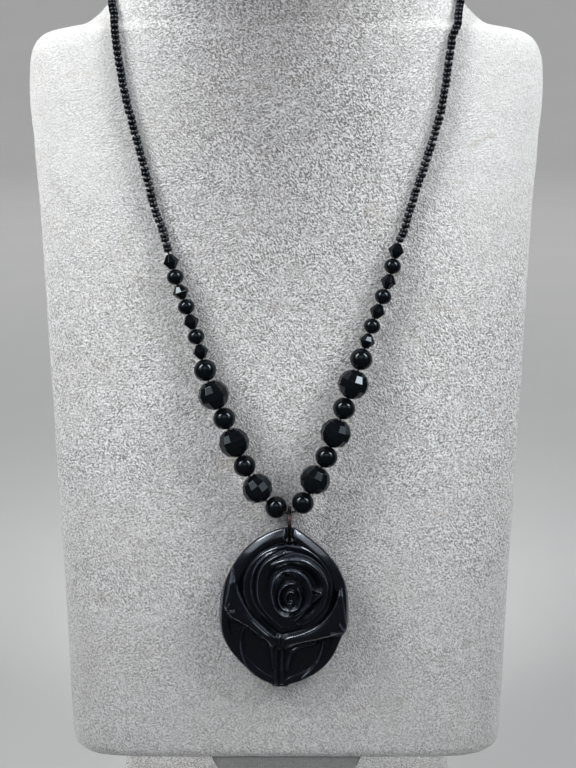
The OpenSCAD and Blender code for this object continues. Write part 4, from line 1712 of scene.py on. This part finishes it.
    def _rim(self, inset: Points, turn: Points) -> Points:
        """The rim: an arched ridge along the outline.

        In the upper half it is wider and slopes evenly from its crest out to a crisp edge.

        Args:
            inset: how far in from the outline each place is.
            turn: its direction from the heart, in degrees.

        Returns:
            The rim's height over the ground.
        """
        upper = self._upper(turn)
        crest = 1.55 + 0.4 * upper
        ridge = np.clip(1 - ((inset - crest) / (1.6 + 0.6 * upper)) ** 2, 0, 1) ** 0.65
        slope = 1 - 0.95 * np.clip(1 - inset / crest, 0, 1) ** 1.25
        ridge = np.where(inset < crest, ridge + (slope - ridge) * upper, ridge)
        return self.rim_rise * np.interp(turn, *np.array(self.rim_share, float).T) * ridge

    def _edge_fall(self, inset: Points, turn: Points) -> Points:
        """The rounded edge: a quarter of an ellipse, much smaller in the upper half.

        Args:
            inset: how far in from the outline each place is.
            turn: its direction from the heart, in degrees.

        Returns:
            How far the front falls there.
        """
        upper = self._upper(turn)
        into = np.clip(inset / (self.edge_round * (1 - 0.65 * upper)), 0, 1)
        return self.edge_drop * (1 - 0.8 * upper) * (1 - np.sqrt(1 - (1 - into) ** 2))

    def _relief(self, p: Points, inset: Points, turn: Points) -> Points:
        """Height of the front over the back: the highest of ground, dome, rim, ribs, petals, leaves.

        The folds are laid over them, and then the edge is rounded and the groove cut.

        Args:
            p: places on the front.
            inset: how far in from the outline each is.
            turn: its direction from the heart, in degrees.

        Returns:
            The heights.
        """
        ground = self.ground
        off = (p - np.array(self.rose)) / np.array(self.dome_half)
        dome = ground - 0.1 + self.dome_rise * np.clip(1 - (off**2).sum(-1), 0, 1) ** 0.7
        z = self._over(np.maximum(ground, dome), ground + self._rim(inset, turn), 0.2)
        for rib in self.ribs:
            distance = self._nearest(p, smooth_line(rib.line, 6))[0]
            z = self._over(z, ground + (rib.crest - ground) * bell(distance, rib.width), 0.2)
        for petal in self.petals:
            z = self._over(z, self._lip(p, petal), 0.12)
        for leaf in self.leaves:
            z = self._over(z, self._leaf(p, leaf), 0.1)
        for fold in self.folds:
            z = z + self.fold_rise * bell(self._nearest(p, np.array(fold))[0], 0.35)
        return self._grooved(p, z - self._edge_fall(inset, turn))

    def _grooved(self, p: Points, z: Points) -> Points:
        """Cuts the groove from the hole to the top, which the ring lies in, down to the ground.

        It is 2 mm wide at the hole, and 0.18 mm wider for each millimetre up.

        Args:
            p: places on the front.
            z: their heights.

        Returns:
            The heights with the groove.
        """
        half = 1.0 + 0.09 * np.clip(p[..., 1], 0, 6)
        side = np.clip((half + 0.12 - np.abs(p[..., 0])) / 0.24, 0, 1)
        end = np.clip((p[..., 1] + 0.5) / 0.6, 0, 1)
        depth = side * side * (3 - 2 * side) * end
        return z - depth * np.clip(z - self.ground, 0, None)

    def _marks(self, flat: Points, z: Points) -> dict[str, Points]:
        """Finds the front's hollows and edges.

        A hollow is a place lower than the average of its surroundings, an edge one that stands
        higher than a nearer average. The averages are those of the four neighbours, taken again
        and again. The edge mark paints crests paler, partly as wear and partly as painted highlight; on the wide
        ribs it is faint.

        Args:
            flat: places on the front.
            z: their heights.

        Returns:
            The marks hollow and edge, from 0 to 1.
        """
        near_round, far_round = 5, 14
        around = [z]
        for _ in range(far_round):
            rows = np.pad(around[-1], ((1, 1), (0, 0)), mode="edge")
            sides = np.roll(around[-1], 1, axis=1) + np.roll(around[-1], -1, axis=1)
            around.append((rows[2:] + rows[:-2] + sides) / 4)
        edge = np.clip((z - around[near_round] - 0.045) / 0.07, 0, 1)
        for rib in self.ribs:
            if rib.width > self.wide_rib:
                edge = edge * (1 - 0.8 * bell(self._nearest(flat, smooth_line(rib.line, 6))[0], 1.2))
        return {"hollow": np.clip((around[far_round] - z) / 0.22, 0, 1), "edge": edge}

    def _back(self, reach: Points, way: Points, turn: Points) -> Points:
        """The flat back with its rounded edge, and a bevel behind the upper half's rim.

        Args:
            reach: the outline's reach from the heart in each direction.
            way: the directions, as unit vectors.
            turn: the directions, in degrees.

        Returns:
            Its rings, from its middle out.
        """
        inset = np.array([12, 6, 3, 1.5, 0.9, 0.45, 0.18, 0.04])
        level = np.array([0, 0, 0, 0, 0.01, 0.12, 0.4, 0.85])
        bevel = np.array([0, 0, 0.2, 1.0, 1.1, 1.2, 1.15, 1.0])
        cut_in = inset[:, None] + bevel[:, None] * self._upper(turn)
        flat = np.array(self.heart) + (reach - cut_in)[:, :, None] * way
        height = np.broadcast_to(level[:, None, None], flat.shape[:2] + (1,))
        return np.concatenate([flat, height], axis=-1)

    def _skin(self) -> tuple[Skin, dict[str, Points]]:
        """The pendant's skin: rings round the heart, over the back and the edge to the front.

        Returns:
            The skin in the world, and the marks of its points, nothing on the back.
        """
        turn = np.arange(self.columns) * 360 / self.columns
        reach = np.interp(turn, *self._reach())
        way = np.stack([np.cos(np.radians(turn)), np.sin(np.radians(turn))], axis=1)
        share = 1 - np.arange(self.rows) / self.rows
        radius = share[:, None] * reach
        flat = np.array(self.heart) + radius[:, :, None] * way
        z = self._relief(flat, reach - radius, np.broadcast_to(turn, radius.shape))
        back = self._back(reach, way, turn)
        local = np.concatenate([back, np.concatenate([flat, z[:, :, None]], axis=-1)])
        local[:, :, 2] -= self.ground / 2
        marks = {}
        for name, front in self._marks(flat, z).items():
            values = np.concatenate([np.zeros(back.shape[:2]), front]).ravel()
            marks[name] = np.concatenate([values, [0, values[-1]]])
        return skin_over(local @ self.plane.axes() + self.eye), marks

    def _drill(self, piece: bpy.types.Object, shop: Workshop) -> None:
        """Bores the hole, with eased rims, and makes the cut part of the mesh.

        Args:
            piece: the pendant without its hole.
            shop: makes the cutter.
        """
        rim = np.array([(2.3, -1.0), (1.35, 0.0), (1.12, 0.12), (1.0, 0.4)])
        rows = np.vstack([rim, rim[::-1] * [1, -1] + [0, self.ground]])
        local = turned(rows - np.array([0, self.ground / 2]), 40)
        cutter = shop.mesh_piece("eye_cutter", skin_over(local @ self.plane.axes() + self.eye))
        cut = piece.modifiers.new("eye", "BOOLEAN")
        cut.object = cutter
        cut.operation = "DIFFERENCE"
        cut.solver = "EXACT"
        bpy.context.view_layer.update()
        drilled = bpy.data.meshes.new_from_object(
            piece.evaluated_get(bpy.context.evaluated_depsgraph_get())
        )
        piece.modifiers.clear()
        shop.clear_slivers(drilled)
        piece.data = drilled
        bpy.data.objects.remove(cutter)

    def build(self, shop: Workshop) -> None:
        """Builds the drop.

        Args:
            shop: makes the piece and settles it.
        """
        skin, marks = self._skin()
        piece = shop.mesh_piece("rose_drop", skin, marks=marks)
        self._drill(piece, shop)
        shop.settle(piece, Slot.CARVED, Body.DROP, "pendant")


@dataclass
class Studio:
    """The plain pale floor, the soft lights and the camera."""

    camera_place: tuple = (0.0005, -0.3189, 0.2622)
    camera_way: tuple = (0.0, 0.9455, -0.3256)
    lens: float = 71.33
    floor_sides: int = 96

    def _floor(self) -> None:
        """A pale floor that sweeps up all round to a low wall, its profile a quarter circle.

        Black stone doesn't mirror it: it mirrors the dim room instead, as in the photograph.
        """
        bend = np.linspace(0, math.pi / 2, 24)
        reach = np.concatenate([[0.01, 0.5], 1.5 + 1.2 * np.sin(bend), [2.7]])
        height = np.concatenate([[0.0, 0.0], 1.2 * (1 - np.cos(bend)), [1.5]])
        skin = skin_over(turned(np.stack([reach, height], axis=1), self.floor_sides))
        faces = skin.quads.tolist() + skin.fans[: self.floor_sides].tolist()
        mesh = bpy.data.meshes.new("floor_sweep")
        mesh.from_pydata(skin.points[:-1].tolist(), [], faces)
        mesh.polygons.foreach_set("use_smooth", np.full(len(faces), True))
        floor = bpy.data.objects.new("floor_sweep", mesh)
        bpy.context.scene.collection.objects.link(floor)
        sheet = NodeSheet("pale_floor")
        tone = sheet.mix(sheet.noise(60, 3), rgb(0.6, 0.6, 0.6), rgb(0.64, 0.64, 0.63))
        mesh.materials.append(sheet.surface({"Base Color": tone, "Roughness": 0.75}))
        floor.visible_glossy = False

    @staticmethod
    def _light(name: str, place: tuple, aim: tuple, size: tuple, power: float, colour: tuple,
               fan: float = 180.0) -> None:
        """A soft rectangular light.

        Args:
            name: the light's name.
            place: where it stands, in metres.
            aim: what it points at.
            size: its width and height.
            power: in watts.
            colour: its colour.
            fan: the angle that its light keeps within, in degrees.
        """
        lamp = bpy.data.lights.new(name, "AREA")
        lamp.shape = "RECTANGLE"
        lamp.size, lamp.size_y = size
        lamp.energy = power
        lamp.color = colour
        lamp.spread = math.radians(fan)
        light = bpy.data.objects.new(name, lamp)
        light.location = place
        light.visible_camera = False
        light.rotation_euler = (Vector(aim) - Vector(place)).to_track_quat("-Z", "Y").to_euler()
        bpy.context.scene.collection.objects.link(light)

    @staticmethod
    def _light_room(tree: bpy.types.NodeTree) -> None:
        """Makes the room darker from front to back, for light and mirror images; pale to look at.

        Args:
            tree: the world's nodes.
        """

        def ranged(value: bpy.types.NodeSocket, low: float, start: bpy.types.NodeSocket | float,
                   end: float) -> bpy.types.NodeSocket:
            """Draws a value out to a range.

            Args:
                value: it goes from low to 1.
                low: its lower end.
                start: what low becomes, a number or a socket.
                end: what 1 becomes.

            Returns:
                The socket with the result.
            """
            level = tree.nodes.new("ShaderNodeMapRange")
            level.inputs["From Min"].default_value = low
            level.inputs["To Max"].default_value = end
            if isinstance(start, float):
                level.inputs["To Min"].default_value = start
            else:
                tree.links.new(start, level.inputs["To Min"])
            tree.links.new(value, level.inputs["Value"])
            return level.outputs["Result"]

        way = tree.nodes.new("ShaderNodeSeparateXYZ")
        tree.links.new(tree.nodes.new("ShaderNodeTexCoord").outputs["Generated"], way.inputs[0])
        dim = ranged(way.outputs["Y"], -1.0, 0.09, 0.02)
        seen = tree.nodes.new("ShaderNodeLightPath").outputs["Is Camera Ray"]
        background = tree.nodes["Background"]
        background.inputs["Color"].default_value = rgb(0.9, 0.93, 1.0)
        tree.links.new(ranged(seen, 0.0, dim, 0.4), background.inputs["Strength"])

    def _lights(self) -> None:
        """Two windows and three panels in front, and light thrown at the walls round about."""
        aim = (0.0, -0.03, 0.17)
        self._light("left_window", (-0.33, -0.15, 0.58), aim, (0.13, 0.32), 0.48, (1.0, 0.995, 0.985), 70)
        self._light("right_window", (0.33, -0.15, 0.58), aim, (0.13, 0.32), 0.41, (0.985, 1.0, 1.0), 70)
        self._light("left_panel", (-0.55, -0.32, 0.55), aim, (0.4, 0.4), 0.22, (0.9, 0.95, 1.0), 70)
        self._light("right_panel", (0.55, -0.32, 0.55), aim, (0.4, 0.4), 0.18, (0.9, 0.95, 1.0), 70)
        self._light("top_panel", (0.0, -0.5, 0.6), aim, (0.6, 0.3), 0.14, (0.82, 0.88, 1.0), 70)
        self._light("back_panel", (0.0, 0.5, 1.3), (0.0, 2.2, 0.5), (1.2, 0.5), 20.0, (1.0, 1.0, 1.0))
        for name, side in (("left_wall", -1.0), ("right_wall", 1.0)):
            place, wall = (0.9 * side, -0.2, 1.6), (2.6 * side, -0.2, 0.7)
            self._light(name, place, wall, (1.2, 0.5), 14.0, (1.0, 1.0, 1.0))

    def _camera(self) -> None:
        """The camera, placed as the photograph's."""
        lens = bpy.data.cameras.new("camera")
        lens.sensor_fit = "HORIZONTAL"
        lens.sensor_width = 36.0
        lens.lens = self.lens
        camera = bpy.data.objects.new("camera", lens)
        camera.location = self.camera_place
        camera.rotation_euler = Vector(self.camera_way).to_track_quat("-Z", "Y").to_euler()
        bpy.context.scene.collection.objects.link(camera)
        bpy.context.scene.camera = camera

    def build(self) -> None:
        """Sets up the floor, the lights, the dim room round them and the camera."""
        self._floor()
        self._lights()
        world = bpy.data.worlds.new("dim_room")
        world.use_nodes = True
        self._light_room(world.node_tree)
        bpy.context.scene.world = world
        bpy.context.scene.view_settings.view_transform = "Standard"
        self._camera()


def main() -> None:
    """Builds everything in order."""
    logging.basicConfig(level=logging.INFO, format="%(message)s")
    finishes = Finishes()
    finishes.dress_nodes()
    shop = Workshop(finishes)
    lean = LeaningFrame()
    plane = HangingFrame()
    bust = BustForm(lean)
    bust.build(shop)
    Stand(lean).build(shop)
    ring_point = lean.from_world(joint_place("ring_swing"))
    chains = {side: Chain(side, lean, ring_point) for side in Side}
    for chain in chains.values():
        chain.build(shop)
    SeedStrings(lean, bust, chains).build(shop)
    JumpRing(plane).build(shop)
    Pendant(plane, joint_place("pendant_swing")).build(shop)
    Studio().build()


if __name__ == "__main__":
    main()
